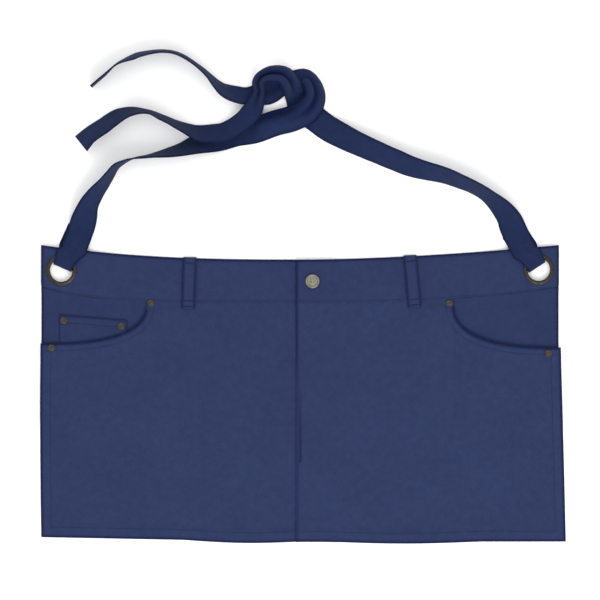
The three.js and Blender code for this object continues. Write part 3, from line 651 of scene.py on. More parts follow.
def metal_material(name, colour, dark, polish):
    """Aged metal: pitted, with dull dark patches between brighter ones."""
    if name in MATERIALS:
        return MATERIALS[name]
    bench = Bench(name)
    place = bench.node("ShaderNodeTexCoord", {}, output="Object")
    patina = bench.noise(place, 260.0, 4.0, 0.65)
    pits = bench.noise(place, 1500.0, 3.0, 0.6)
    age = ((patina - 0.25) * 1.7).held()
    base = bench.mix(age, shade(colour, dark), shade(colour, 1.25))
    normal = bench.bump(0.35, 0.15 * MM, pits + patina)
    bench.feed(Base_Color=base, Roughness=(polish + 0.3 * (1 - age) + pits * 0.1).held(), Normal=normal)
    bench.feed(Metallic=(0.8 + 0.2 * age).held())
    MATERIALS[name] = bench.material
    return bench.material


# Stitches
def stitch_shape():
    """One stitch as points and faces around the X axis, half a unit long each way."""
    clear_selection()
    bpy.ops.mesh.primitive_uv_sphere_add(segments=6, ring_count=4, radius=1)
    blank = bpy.context.object
    blank.rotation_euler = (0, math.pi / 2, 0)
    settle(blank)
    points = np.array([vertex.co for vertex in blank.data.vertices])
    faces = [list(polygon.vertices) for polygon in blank.data.polygons]
    discard(blank)
    return points, faces


class Thread:
    """Collects stitches and makes one mesh of them."""

    def __init__(self, sizes):
        self.s = sizes
        self.shape, self.faces = stitch_shape()
        self.points = []

    def stitch(self, middle, along, up, length, radius):
        side = np.cross(up, along)
        local = self.shape * np.array([length / 2, radius, radius * 0.8])
        self.points.append(middle + local[:, :1] * along + local[:, 1:2] * side + local[:, 2:] * up)

    def run(self, path, normals):
        """A row of topstitches along a path of points that lie on the cloth."""
        pitch, radius = self.s.stitch_pitch, self.s.stitch_radius
        reach = distance_along(path)

        def value_at(distance, values):
            return np.array([np.interp(distance, reach, values[:, k]) for k in range(3)])

        count = max(int(reach[-1] / pitch), 1)
        for i in range(count):
            at = (i + 0.5) * reach[-1] / count
            along = value_at(at + pitch / 3, path) - value_at(at - pitch / 3, path)
            along = along / max(np.linalg.norm(along), 1e-9)
            up = value_at(at, normals)
            up = up - along * (up @ along)
            up = up / max(np.linalg.norm(up), 1e-9)
            self.stitch(value_at(at, path) + up * radius * 0.15, along, up, pitch * 0.78, radius)

    def tack(self, start, end, up, width):
        """A bartack: threads laid close together across a short line."""
        length, radius = np.linalg.norm(end - start), self.s.stitch_radius
        across = np.cross(up, (end - start) / length)
        count = int(length / (0.8 * radius * 2))
        for i in range(count):
            middle = start + (end - start) * (i + 0.5) / count
            self.stitch(middle + up * radius * 0.3, across, up, width, radius * 0.9)

    def piece(self, name, slot):
        starts = range(0, len(self.points) * len(self.shape), len(self.shape))
        faces = [[start + corner for corner in face] for start in starts for face in self.faces]
        made = mesh_piece(name, np.concatenate(self.points), faces)
        finish(made, thread_material(bpy.context.scene.apron_colours.thread))


def on_surface(surface, x, y):
    """Points on a height surface and the normals there."""
    step = 0.5 * MM
    z = surface(x, y)
    slope_x = (surface(x + step, y) - surface(x - step, y)) / (2 * step)
    slope_y = (surface(x, y + step) - surface(x, y - step)) / (2 * step)
    normals = np.stack([-slope_x, -slope_y, np.ones_like(z)], axis=-1)
    return placed(x, y, z), normals / np.linalg.norm(normals, axis=1, keepdims=True)


# Ties
EYELET_FRONT = float(node_box("eyelet_left")[1][2])
# Each row is a place on the middle of a tie: along, up, turn, lift, gather, crown and pleat.
# Along and up are shares of the way to the knot, of the knot's half size or of the free end's reach.
# Turn is the lean in degrees with the left edge up. Lift is counted in layers of tie under the low edge.
# Gather narrows the tie. Crown and pleat are folds as shares of its width.
# PLAIN ends a row that leaves out its last values
PLAIN = (0, 1, 0, 0)
LEAD_LEFT = [
    (0.056, 0.118, 0, 3.63, 0.98, 0.03), (0.089, 0.255, 4, 1.1), (0.117, 0.371, 44), (0.148, 0.445, 58),
    (0.188, 0.513, 70), (0.218, 0.570, 77), (0.250, 0.623, 84), (0.316, 0.662, 95), (0.386, 0.676, 101),
    (0.475, 0.700, 116), (0.532, 0.718, 126), (0.606, 0.752, 146), (0.694, 0.786, 170), (0.764, 0.816, 178),
    (0.834, 0.831, 180),
]
KNOT_LEFT = [
    (-0.75, -0.70, 192, 0, 1, 0.12), (-0.39, -0.565, 188, 0.2, 1, 0.22),
    (0.11, -0.43, 188, 1.0, 1, 0.16, 0.03), (0.51, -0.20, 190, 1.4, 1, 0.04, 0.1),
    (0.69, 0.14, 198, 1.4, 0.86, 0, 0.13), (0.62, 0.49, 209, 1.3, 0.8, 0, 0.12),
    (0.41, 0.73, 196, 0, 0.6, 0, 0.02), (0.03, 0.65, 190, 0, 0.66), (-0.31, 0.46, 184, 0, 0.9, 0, 0.03),
    (-0.67, 0.29, 182, 0, 1, 0, 0.05),
]
FREE_A = [
    (0, 0, 190, 0, 0.7), (0.078, 0.004, 216, 0, 0.84), (0.147, 0.025, 235), (0.202, 0.068, 248),
    (0.252, 0.121, 257), (0.318, 0.179, 259), (0.439, 0.256, 260), (0.555, 0.276, 257), (0.669, 0.259, 254),
    (0.736, 0.238, 252), (0.836, 0.194, 260), (0.917, 0.121, 265), (1, 0.051, 265),
]
LEAD_RIGHT = [
    (0.058, 0.105, 0, 3.63, 0.98, 0.03), (0.100, 0.236, -6, 1.1), (0.122, 0.308, -32, 0.2),
    (0.161, 0.378, -50), (0.211, 0.442, -64), (0.262, 0.487, -66), (0.316, 0.523, -62), (0.376, 0.558, -57),
    (0.445, 0.585, -51), (0.514, 0.614, -43), (0.584, 0.657, -40), (0.654, 0.702, -37), (0.724, 0.749, -32),
    (0.793, 0.801, -20), (0.849, 0.849, -5),
]
KNOT_RIGHT = [
    (0.72, -0.46, -1), (0.44, -0.25, 0), (0.28, -0.03, 0), (0.16, 0.21, 0, 0.8, 0.86, 0, 0.01),
    (0.02, 0.49, 14, 6.5, 0.78, 0, 0.11), (-0.17, 0.69, 20, 8.8, 0.8, 0, 0.17),
    (-0.5, 0.73, 22, 9.6, 0.74, 0, 0.18), (-0.76, 0.65, 16, 9.4, 0.56, 0, 0.18),
    (-0.87, 0.5, 6, 8.4, 0.5, 0, 0.17), (-0.85, 0.32, 0, 6.4, 0.44, 0, 0.14),
    (-0.91, 0.08, 4, 4.4, 0.6, 0, 0.07), (-1.04, -0.24, 12, 4.3, 0.8, 0.02),
]
FREE_B = [
    (0.005, 0.006, 20, 3.6, 0.82), (0.106, -0.056, 33, 1.9, 0.95), (0.188, -0.067, 40, 1.4),
    (0.267, -0.066, 46, 1.0), (0.329, -0.045, 60, 0.6), (0.432, 0.001, 72), (0.501, 0.033, 74),
    (0.558, 0.059, 78), (0.611, 0.069, 76), (0.657, 0.071, 69), (0.706, 0.064, 61), (0.749, 0.050, 54),
    (0.781, 0.036, 50), (0.852, -0.012, 46), (0.904, -0.046, 45), (0.952, -0.081, 44), (1, -0.129, 36),
]
# From is where the free end leaves the knot, in the knot's half sizes from its middle. Heading is the way
# along which the tie comes out of its eyelet, in degrees
ROUTES = {
    -1: {"lead": LEAD_LEFT, "knot": KNOT_LEFT, "free": FREE_A, "from": (-1.14, 0.19), "heading": 66},
    1: {"lead": LEAD_RIGHT, "knot": KNOT_RIGHT, "free": FREE_B, "from": (-1.31, -0.58), "heading": 123},
}
UP = np.array([0.0, 0.0, 1.0])


def unit(vectors):
    return vectors / np.maximum(np.linalg.norm(vectors, axis=-1, keepdims=True), 1e-12)


class Ribbon:
    """A strip of cloth as sections: middles, the way to the left edge, face normals, widths and folds."""

    def __init__(self, middles, lefts, normals, widths, crowns, pleats, thickness):
        self.middle, self.left, self.normal = middles, lefts, normals
        self.width, self.crown, self.pleat = widths, crowns, pleats
        self.half_thickness = thickness / 2
        self.crush = np.zeros(len(middles))
        self.relief, self.seed = 0.0, 0
        self.reach = distance_along(middles)

    def wrinkles(self, share):
        """Soft unevenness of the cloth, stronger where the knot crushes it."""
        across = np.full_like(self.reach, share * np.max(self.width))
        long = self.relief * ripple(self.reach, 1.4 * across, 30 * MM, self.seed)
        short = self.relief * 0.12 * ripple(self.reach, across, 9 * MM, self.seed + 5)
        return long + short + self.crush * ripple(self.reach, 0.4 * across, 12 * MM, self.seed + 3)

    def at(self, share, height):
        """Points of the strip at a share across and a height over its middle layer, kept above the floor."""
        fold = self.crown * (1 - np.cos(TAU * (share + 0.5))) / 2
        fold = fold + self.pleat * (1 - np.cos(2 * TAU * (share + 0.5))) / 2
        sign = np.where(self.normal[:, 2] < 0, -1.0, 1.0)
        rise = sign * (fold * np.max(self.width) + self.wrinkles(share))
        core = self.middle + self.left * (share * self.width)[:, None] + self.normal * rise[:, None]
        reach_down = np.abs(self.normal[:, 2]) * self.half_thickness
        core[:, 2] = np.maximum(core[:, 2], reach_down + 0.05 * MM)
        return core + self.normal * np.broadcast_to(height, self.reach.shape)[:, None]


def tie_rows(ties, side, pattern):
    """The route's rows with their places in plan."""
    route = ROUTES[side]
    start = pattern.eyelet[side]
    eyelet_y = (pattern.eyelet[-1][1] + pattern.eyelet[1][1]) / 2
    knot = (-ties.knot_left, eyelet_y + ties.knot_above)
    half = ties.knot_half
    reach = ties.reach_a if side < 0 else ties.reach_b
    out = (knot[0] + route["from"][0] * half, knot[1] + route["from"][1] * half)
    parts = {
        "lead": (start, (knot[0] - start[0], knot[1] - start[1])),
        "knot": (knot, (half, half)),
        "free": (out, (-reach, reach)),
    }
    rows = []
    for part, (origin, scale) in parts.items():
        for along, up, *folds in route[part]:
            folds = (*folds, *PLAIN[len(folds) - 1 :])
            rows.append((origin[0] + along * scale[0], origin[1] + up * scale[1], *folds))
    return np.array(rows)


def smooth_rows(rows, spacing):
    """A smooth curve through the rows, with a section about every spacing."""
    result = []
    last = len(rows) - 1
    for i in range(last):
        a, b, c, d = rows[max(i - 1, 0)], rows[i], rows[i + 1], rows[min(i + 2, last)]
        steps = max(1, round(float(np.hypot(*(c - b)[:2])) / spacing))
        for t in np.arange(steps) / steps:
            t2, t3 = t * t, t * t * t
            bent = (2 * t3 - 3 * t2 + 1) * b + (t3 - 2 * t2 + t) * (c - a) / 2
            result.append(bent + (3 * t2 - 2 * t3) * c + (t3 - t2) * (d - b) / 2)
    result.append(rows[last])
    return np.array(result)


def blurred(values, passes):
    """Values evened out along the strip, with both ends held."""
    result = values.copy()
    for _ in range(passes):
        result[1:-1] = (result[:-2] + 2 * result[1:-1] + result[2:]) / 4
    return result


def tie_ribbon(ties, side, pattern):
    """One tie from its sewn end behind the band, through the eyelet and the knot, to its free end."""
    rows = smooth_rows(tie_rows(ties, side, pattern), ties.spacing)
    x, y, turn, lift, gather, crown, pleat = rows.T
    lean = np.radians(turn)
    layer = ties.thickness + ties.gap
    half = ties.width * gather / 2
    z = np.maximum(lift, 0) * layer + half * np.abs(np.sin(lean)) + ties.thickness / 2 * np.abs(np.cos(lean))
    middles = np.stack([x, y, z], axis=-1)
    along = unit(np.concatenate([middles[1:], middles[-1:]]) - np.concatenate([middles[:1], middles[:-1]]))
    level = unit(np.cross(UP, along))
    left = level * np.cos(lean)[:, None] + np.cross(along, level) * np.sin(lean)[:, None]
    normal = unit(np.cross(along, left))
    width = ties.width * gather
    start = np.array([*pattern.eyelet[side], 0])
    through = eyelet_sections(ties, start, math.radians(ROUTES[side]["heading"]))
    flat = np.zeros(len(through[0]))
    sections = zip((*through, flat, flat), (middles, left, normal, width, crown, pleat))
    middles, left, normal, width, crown, pleat = (np.concatenate(pair) for pair in sections)
    middles += np.array([MIDDLE_X, SEAM_Y, 0])
    lefts, normals = unit(blurred(left, 2)), unit(blurred(normal, 2))
    lefts = unit(lefts - normals * np.sum(lefts * normals, axis=1, keepdims=True))
    ribbon = Ribbon(middles, lefts, normals, width, crown, pleat, ties.thickness)
    ribbon.relief, ribbon.seed = 0.22 * MM, 81 + side
    knot = np.array([MIDDLE_X - ties.knot_left, EYELET_PLACE[-1][1] + ties.knot_above])
    ribbon.crush = 0.55 * MM * bump(np.hypot(*(middles[:, :2] - knot).T), 0, 0.9 * ties.knot_half)
    return ribbon


# From the eyelet's middle to the middle of the half circle in which a tie turns through it
EYELET_BEND = 8.1 * MM


def eyelet_sections(ties, start, heading):
    """Sections of the tie behind the band, round through the eyelet and out over the front.

    Behind the band the tie has its own width down to one share of the fold back, and is narrow at another.
    """
    forward = np.array([math.cos(heading), math.sin(heading), 0])
    left = np.cross(UP, forward)
    back_z, front_z = ties.thickness / 2, EYELET_FRONT + ties.gap + ties.thickness / 2
    radius = (front_z - back_z) / 2
    narrow, full = 0.3, 0.5
    rows = []
    for share in np.linspace(1, narrow, 14):
        wide = ties.width
        if share <= full:
            wide = ties.through_width + (ties.width - ties.through_width) * (share - narrow) / (full - narrow)
        rows.append((ties.fold_back * share, back_z, -UP, wide))
    for angle in np.linspace(0, math.pi, 17):
        outward = -UP * math.cos(angle) - forward * math.sin(angle)
        height = (back_z + front_z) / 2 - radius * math.cos(angle)
        rows.append((EYELET_BEND - radius * math.sin(angle), height, outward, ties.through_width))
    rows.append((EYELET_BEND + 6 * MM, front_z, UP, ties.through_width + 2 * MM))
    rows.append((EYELET_BEND + 13 * MM, front_z, UP, ties.width * 0.95))
    middles = np.array([start + forward * distance + UP * height for distance, height, _, _ in rows])
    normals = np.array([normal for _, _, normal, _ in rows])
    return middles, np.repeat(left[None, :], len(rows), axis=0), normals, np.array([row[3] for row in rows])


def ribbon_piece(name, ribbon, stitch_inset):
    """A closed strip with rolled edges, its own UV map in metres, and marks for wear and stitch grooves, with
    painted shade along its edges, in its stitch grooves and fold valleys, and a painted shadow on the half of
    a crowned fold that lies in shade.
    """
    reach = ribbon.reach
    count = 27
    across = 0.5 * np.sin(np.linspace(-math.pi / 2, math.pi / 2, count))
    across = 0.55 * across + 0.45 * np.linspace(-0.5, 0.5, count)
    widest = float(np.max(ribbon.width))
    columns = []
    for share in across:
        from_edge = (0.5 - abs(share)) * widest
        groove_and_shade = bump(from_edge, stitch_inset, GROOVE) * np.ones_like(reach)
        half = ribbon.half_thickness * (1 - 0.62 * rolled(from_edge, ROLL["tie"])) - 0.12 * MM * groove_and_shade
        flat = np.stack([np.full_like(reach, share * widest), reach], axis=-1)
        # Painted shade darkening the rolled edges
        wear_and_shade = np.full_like(reach, math.exp(-((from_edge / (1.8 * MM)) ** 2)))
        # Painted shade in the valleys of a pleated fold and at its edges
        valley_shade = bump(share, 0, 0.11) + 0.6 * bump(abs(share), 0.5, 0.1)
        valley_shade = np.clip(ribbon.pleat / 0.12, 0, 1) * valley_shade
        # Painted shadow on the half of a crowned fold that lies in shade
        upper = np.where(ribbon.normal[:, 2] < 0, -share, share)
        shadow = np.clip(ribbon.crown / 0.2, 0, 1) * ramp(upper, 0.08, 0.32)
        groove_and_shade = groove_and_shade * 0.7 + 2.0 * valley_shade + 1.9 * shadow
        columns.append((ribbon.at(share, -half), ribbon.at(share, half), flat, wear_and_shade, groove_and_shade))
    low, high, flat, wear_and_shade, groove_and_shade = (np.stack(values, axis=1) for values in zip(*columns))
    piece = closed_sheet(name, low, high, flat, {"wear_and_shade": wear_and_shade, "groove_and_shade": groove_and_shade})
    pick(piece)
    bpy.ops.object.mode_set(mode="EDIT")
    bpy.ops.mesh.select_all(action="SELECT")
    bpy.ops.mesh.normals_make_consistent(inside=False)
    bpy.ops.object.mode_set(mode="OBJECT")
    return piece


# The rest of the cloth
def rectangle_sheet(name, x_stops, y_rows, surfaces):
    """A closed sheet over columns of x and rows of y. Surfaces(x, y) works out its heights and marks."""
    x = np.repeat(x_stops[None, :], len(y_rows), axis=0)
    y = np.stack(y_rows)
    return plan_sheet(name, x, y, *surfaces(x, y))


def stops_between(start, end, grid, edges=(0, 0.3, 0.8, 1.5, 2.4, 3.4)):
    """Stops from start to end: close together at both edges and even between."""
    fine = np.array(edges) * MM
    even = np.linspace(start + fine[-1], end - fine[-1], max(int((end - start - 2 * fine[-1]) / grid), 2))
    return np.concatenate([start + fine[:-1], even, (end - fine[:-1])[::-1]])


def band_surface(pattern, side, x, y):
    """Height of the underside and of the top of a half of the band, and its marks: wear and painted shade
    along its edges, a painted shadow along the lapped end, and stitch grooves darkened with painted shade.
    """
    s = pattern.s
    from_side = s.half_width - np.abs(x)
    from_inner = side * (x - pattern.inner_edge(side))
    from_top = pattern.top_y(x) - y
    from_seam = y - pattern.seam_y(x)
    edge = smallest(from_side, from_inner, from_top)
    loss = rolled(edge, ROLL["band"])
    floor = pattern.band_floor(x, y, side > 0)
    stitched = smallest(from_side, from_top, from_seam)
    pucker = 0.16 * MM * ripple(x, y, 10 * MM, 41) * bump(stitched, 2.5 * MM, 6 * MM)
    soft = 0.22 * MM * ripple(x, y, 42 * MM, 43)
    groove_and_shade = np.clip(0.3 * bump(stitched, BAND_ROW, GROOVE) + bump(from_inner, BAND_END_ROW, GROOVE), 0, 1)
    crown = 0.25 * MM * ramp(smallest(edge, from_seam), 1 * MM, 7 * MM)
    seam_loss = 0.25 * MM * rolled(from_seam, ROLL["seam"])
    high = floor + s.band_thickness + pucker + soft + crown - 0.2 * MM - 0.9 * MM * loss - seam_loss
    low = floor + 0.6 * MM * loss
    # Painted shade along the rolled side and top edges, painted shadow along the lapped end, and a faint dark
    # line at the seam
    wear_and_shade = 1.2 * bump(smallest(from_side, from_top), *EDGE_SHADE_LINE) + bump(from_inner, *LAP_SHADE_LINE)
    wear_and_shade = np.clip(wear_and_shade + 0.15 * bump(from_seam, 0, 0.8 * MM), 0, 1)
    return low, high, wear_and_shade, groove_and_shade


# Radius of the hole in the band, which the eyelet's rims cover
BAND_HOLE = 15.5 * MM


def band_piece(pattern, side):
    s = pattern.s
    start, end = sorted((pattern.inner_edge(side), side * s.half_width))
    x = stops_between(start, end, 2.0 * MM)
    shares = stops_between(0, s.band_height, 1.9 * MM) / s.band_height
    rows = [pattern.seam_y(x) + share * (pattern.top_y(x) - pattern.seam_y(x)) for share in shares]
    name = f"waistband_cloth_{SIDE_NAME[side]}"
    piece = rectangle_sheet(name, x, rows, lambda px, py: band_surface(pattern, side, px, py))
    clear_selection()
    place = (*EYELET_PLACE[side][:2], 0)
    bpy.ops.mesh.primitive_cylinder_add(vertices=48, radius=BAND_HOLE, depth=60 * MM, location=place)
    punch = bpy.context.object
    settle(punch)
    apply_modifier(piece, "BOOLEAN", operation="DIFFERENCE", object=punch, solver="EXACT")
    discard(punch)
    finish_cloth(piece, f"waistband_{SIDE_NAME[side]}", "navy_twill")
    middle = float(np.mean(pattern.top_y(x) - pattern.seam_y(x)))
    end - start
    (end - start) * middle


def pocket_back_piece(pattern, side):
    """The facing in a pocket mouth and the pocket behind it. Its seam allowance reaches up into the band."""
    s = pattern.s
    start, end = sorted((side * (s.half_width - s.bag_width), side * s.half_width))
    x = stops_between(start, end, 3.0 * MM)
    heights = stops_between(0, s.bag_depth, 3.0 * MM)
    rows = [pattern.seam_y(x) - s.bag_depth + height for height in heights]

    def surface(px, py):
        inward = s.half_width - np.abs(px)
        from_top = pattern.seam_y(px) - py
        from_bottom = py - pattern.seam_y(px) + s.bag_depth
        edge = smallest(inward, from_bottom, s.bag_width - inward)
        fold = facing_fold(pattern, side, px, py)
        inside = ramp(pattern.mouth_share(px, py), 0.99, 0.95)
        allowance = (s.band_thickness - s.cloth) * ramp(from_top, 8 * MM, 2 * MM) * inside
        soft = 0.12 * MM * (1 + ripple(px, py, 38 * MM, 51))
        loss = rolled(edge, ROLL["pocket"])
        high = soft + s.cloth - 0.4 * MM * loss + fold + allowance
        # Painted shade: darker along the rolled edges and a little darker all over, where the facing lies in
        # the mouth
        wear_and_shade = np.clip(bump(edge, *EDGE_SHADE_LINE) + 0.12, 0, 1)
        return 0.3 * MM * loss, high, wear_and_shade, np.zeros_like(px)

    piece = rectangle_sheet(f"pocket_back_cloth_{SIDE_NAME[side]}", x, rows, surface)
    finish_cloth(piece, f"pocket_back_{SIDE_NAME[side]}", "navy_twill")


# The line of a facing's side seam, as shares of the half width and of the skirt's length
SIDE_SEAM = {
    -1: [(-0.912, 0.028), (-0.914, -0.006), (-0.935, -0.056), (-0.943, -0.14)],
    1: [(0.932, 0.002), (0.937, -0.047), (0.908, -0.14)],
}


def facing_fold(pattern, side, x, y):
    """A low ridge in the facing where its side seam shows in the mouth."""
    line = np.array(SIDE_SEAM[side]) * np.array([pattern.s.half_width, pattern.s.skirt_length])
    seam_x = np.interp(y, line[::-1, 1], line[::-1, 0])
    return 0.35 * MM * ramp(side * (x - seam_x), -0.8 * MM, 0.4 * MM)


# The coin pocket's length when flat, its depth in the mouth, and how far it runs on under the mouth's edge
COIN_LENGTH, COIN_DEPTH, COIN_UNDER = 50 * MM, 40 * MM, 7 * MM


def coin_piece(pattern):
    """The coin pocket on the facing of the left mouth, whose curve it follows below."""
    s = pattern.s
    start = -s.half_width + s.coin_inset
    x = stops_between(start, start + s.coin_width, 1.8 * MM)
    top = pattern.coin_top(x)
    across = (s.half_width + x) / s.mouth_width
    bottom = -((1 - across**ROUNDNESS) ** (1 / ROUNDNESS)) * s.mouth_depth_left - COIN_UNDER
    shares = stops_between(0, COIN_DEPTH, 1.8 * MM) / COIN_DEPTH
    rows = [bottom + share * (top - bottom) for share in shares]

    def surface(px, py):
        from_top = pattern.coin_top(px) - py
        edge = smallest(from_top, px - start, start + s.coin_width - px)
        hem = ramp(from_top, 10.5 * MM, 9.5 * MM) * 0.35 * MM
        pucker = 0.12 * MM * ripple(px, py, 9 * MM, 61) * bump(from_top, 6 * MM, 6 * MM)
        floor = s.cloth + s.gap
        loss = rolled(edge, ROLL["coin"])
        high = floor + s.coin_thickness + hem + pucker - 0.4 * MM * loss
        groove_and_shade = sum(bump(from_top, row, GROOVE) for row in POCKET_ROWS)
        # Painted shade: darker along the rolled edge and a little darker all over
        wear_and_shade = 0.6 * bump(edge, 0.5 * MM, 1.1 * MM) + 0.1
        return floor + 0.25 * MM * loss, high, wear_and_shade, 0.5 * groove_and_shade

    piece = rectangle_sheet("coin_pocket_cloth", x, rows, surface)
    finish_cloth(piece, "coin_pocket", "navy_twill")
    area = s.coin_width * float(np.mean(top - bottom))


BELT_LOOPS = {-1: {"at": -136 * MM, "lean": -2 * MM}, 1: {"at": 136 * MM, "lean": 5 * MM}}
LOOP_WIDTH, LOOP_THICKNESS, LOOP_BELOW, LOOP_CLEARANCE = 16.5 * MM, 1.8 * MM, 8 * MM, 1.2 * MM


def belt_loop_ribbon(pattern, side):
    """A belt loop from under the seam, standing clear of the band, to its end on the band's top edge."""
    s = pattern.s
    place = BELT_LOOPS[side]
    x = place["at"]
    top = float(np.max(pattern.top_y(np.array([x - LOOP_WIDTH, x + LOOP_WIDTH]))))
    seam = float(pattern.seam_y(np.array(x)))
    half = LOOP_THICKNESS / 2
    z0 = s.band_thickness + s.gap + half
    line = [
        (seam - LOOP_BELOW, z0, 0),
        (seam - LOOP_BELOW + 5 * MM, z0 + 0.1 * MM, 0),
        (seam + 9 * MM, z0 + LOOP_CLEARANCE, 0),
        ((seam + top) / 2, z0 + LOOP_CLEARANCE * 1.2, 0),
        (top - 9 * MM, z0 + LOOP_CLEARANCE, 0),
        (top - 3 * MM, z0 + 0.2 * MM, 0),
        (top - 0.9 * MM, z0 - 0.4 * MM, 0),
        (top - 0.2 * MM, z0 - 1.2 * MM, 0),
    ]
    rows = smooth_rows(np.array(line), 0.9 * MM)
    y, z = rows[:, 0], rows[:, 1]
    shift = place["lean"] * (top - y) / (top - seam)
    middles = placed(x + shift, y, z)
    along = unit(np.gradient(middles, axis=0))
    left = unit(np.repeat(np.array([[-1.0, 0, 0]]), len(y), axis=0))
    left = unit(left - along * np.sum(left * along, axis=1, keepdims=True))
    normal = unit(np.cross(along, left))
    zero = np.zeros(len(y))
    return Ribbon(middles, left, normal, np.full(len(y), LOOP_WIDTH), zero, zero, LOOP_THICKNESS)


# Metal
def turned_piece(name, place, rows, segments, ring=False):
    """A round piece raised from a disc, or a ring carried round a closed profile, of radii and heights."""
    clear_selection()
    radius, height = rows[0]
    location = (place[0], place[1], place[2] + height)
    fill = "NOTHING" if ring else "NGON"
    bpy.ops.mesh.primitive_circle_add(vertices=segments, radius=radius, fill_type=fill, location=location)
    piece = bpy.context.object
    piece.name = name
    settle(piece)
    bpy.ops.object.mode_set(mode="EDIT")
    bpy.ops.mesh.select_all(action="SELECT")
    for next_radius, next_height in rows[1:] + (rows[:1] if ring else []):
        bpy.ops.mesh.extrude_region_move(TRANSFORM_OT_translate={"value": (0, 0, next_height - height)})
        share = next_radius / radius
        bpy.ops.transform.resize(value=(share, share, 1), center_override=tuple(place))
        radius, height = next_radius, next_height
    bpy.ops.mesh.select_all(action="SELECT")
    if ring:
        bpy.ops.mesh.remove_doubles(threshold=0.02 * MM)
    bpy.ops.mesh.normals_make_consistent(inside=False)
    bpy.ops.object.mode_set(mode="OBJECT")
    bpy.ops.object.shade_smooth_by_angle(angle=math.radians(50))
    return piece


def node_disc(node):
    """The middle of a round node's underside, its radius and its height."""
    low, high = node_box(node)
    place = Vector(((low[0] + high[0]) / 2, (low[1] + high[1]) / 2, low[2]))
    return place, float(high[0] - low[0]) / 2, float(high[2] - low[2])


# Radii and heights of the metal's profiles, as shares of the node's
BUTTON_PROFILE = [
    (0.90, 0.0), (0.98, 0.12), (1.0, 0.30), (1.0, 0.52), (0.985, 0.72), (0.95, 0.88), (0.90, 0.97),
    (0.85, 1.0), (0.80, 0.98), (0.75, 0.90), (0.72, 0.78), (0.70, 0.62), (0.66, 0.52), (0.60, 0.49),
    (0.50, 0.50), (0.42, 0.52), (0.37, 0.58), (0.33, 0.66), (0.28, 0.70), (0.24, 0.68), (0.21, 0.56),
    (0.16, 0.50), (0.06, 0.49),
]
RIVET_PROFILE = [
    (0.93, 0.0), (1.0, 0.12), (1.0, 0.26), (0.97, 0.42), (0.90, 0.58), (0.80, 0.68), (0.70, 0.70),
    (0.62, 0.64), (0.56, 0.56), (0.50, 0.56), (0.44, 0.66), (0.38, 0.84), (0.30, 0.96), (0.20, 1.0),
    (0.06, 1.0),
]


# Width of the eyelet's rim, thickness of its barrel and height of its front
EYELET_RIM, EYELET_WALL, EYELET_HEIGHT = 5 * MM, 1.2 * MM, 1.8 * MM
# Each row: an edge and how far outside it in mm, a level and how far above it in mm
EYELET_PROFILE = [
    ("hole", 0.5, "back", 0), ("rim", -1.1, "back", 0), ("rim", -0.6, "back", 0.25),
    ("rim", -0.6, "back", 0.6), ("rim", -1.0, "back", 0.8), ("barrel", 0, "back", 0.8),
    ("barrel", 0, "front", 0), ("rim", -0.3, "front", 0),
    ("rim", 0, "front", 0.2), ("rim", 0, "front", 0.45), ("rim", -0.35, "front", 0.75),
    ("rim", -1.0, "front", 1.05), ("rim", -1.7, "front", 1.45), ("rim", -2.3, "front", 1.72),
    ("rim", -2.9, "crest", 0), ("hole", 1.5, "front", 1.72), ("hole", 0.9, "front", 1.4),
    ("hole", 0.4, "front", 0.9), ("hole", 0.1, "front", 0.3), ("hole", 0, "front", -0.5),
    ("hole", 0, "back", 0.6), ("hole", 0.15, "back", 0.15),
]


def button_piece():
    place, radius, height = node_disc("button")
    rows = [(share * radius, rise * height) for share, rise in BUTTON_PROFILE]
    piece = turned_piece("button_tack", place, rows, segments=72)
    colour = bpy.context.scene.apron_colours.button
    finish(piece, metal_material("button_metal", colour, dark=0.55, polish=0.36), "button")


def rivet_piece(number):
    """One rivet. Those next to the seam are seated on the cloth, which runs up into the band there."""
    node = f"rivet_{number}"
    place, radius, height = node_disc(node)
    if node_box(node)[0][1] > SEAM_Y - SEWN_DEPTH:
        x, y = np.array(place[0] - MIDDLE_X), np.array(place[1] - SEAM_Y)
        cloth = skirt_surface(current_pattern(bpy.context), 1 if x > 0 else -1, x, y)[1]
        place[2] = float(cloth) - 0.15 * MM
    rows = [(share * radius, rise * height) for share, rise in RIVET_PROFILE]
    piece = turned_piece(f"rivet_head_{number}", place, rows, segments=48)
    colour = bpy.context.scene.apron_colours.rivet
    finish(piece, metal_material("rivet_brass", colour, dark=0.5, polish=0.32), node)


def eyelet_piece(side):
    node = f"eyelet_{SIDE_NAME[side]}"
    place, rim, _ = node_disc(node)
    low, high = node_box(node)
    back, crest = float(low[2]), float(high[2])
    hole = rim - EYELET_RIM
    edges = {"rim": rim, "hole": hole, "barrel": hole + EYELET_WALL}
    levels = {"back": back, "front": crest - EYELET_HEIGHT, "crest": crest}
    rows = [(edges[edge] + out * MM, levels[level] + up * MM) for edge, out, level, up in EYELET_PROFILE]
    place[2] = 0
    piece = turned_piece(f"eyelet_ring_{SIDE_NAME[side]}", place, rows, segments=96, ring=True)
    colour = bpy.context.scene.apron_colours.eyelet
    finish(piece, metal_material("eyelet_metal", colour, dark=0.5, polish=0.26), node)


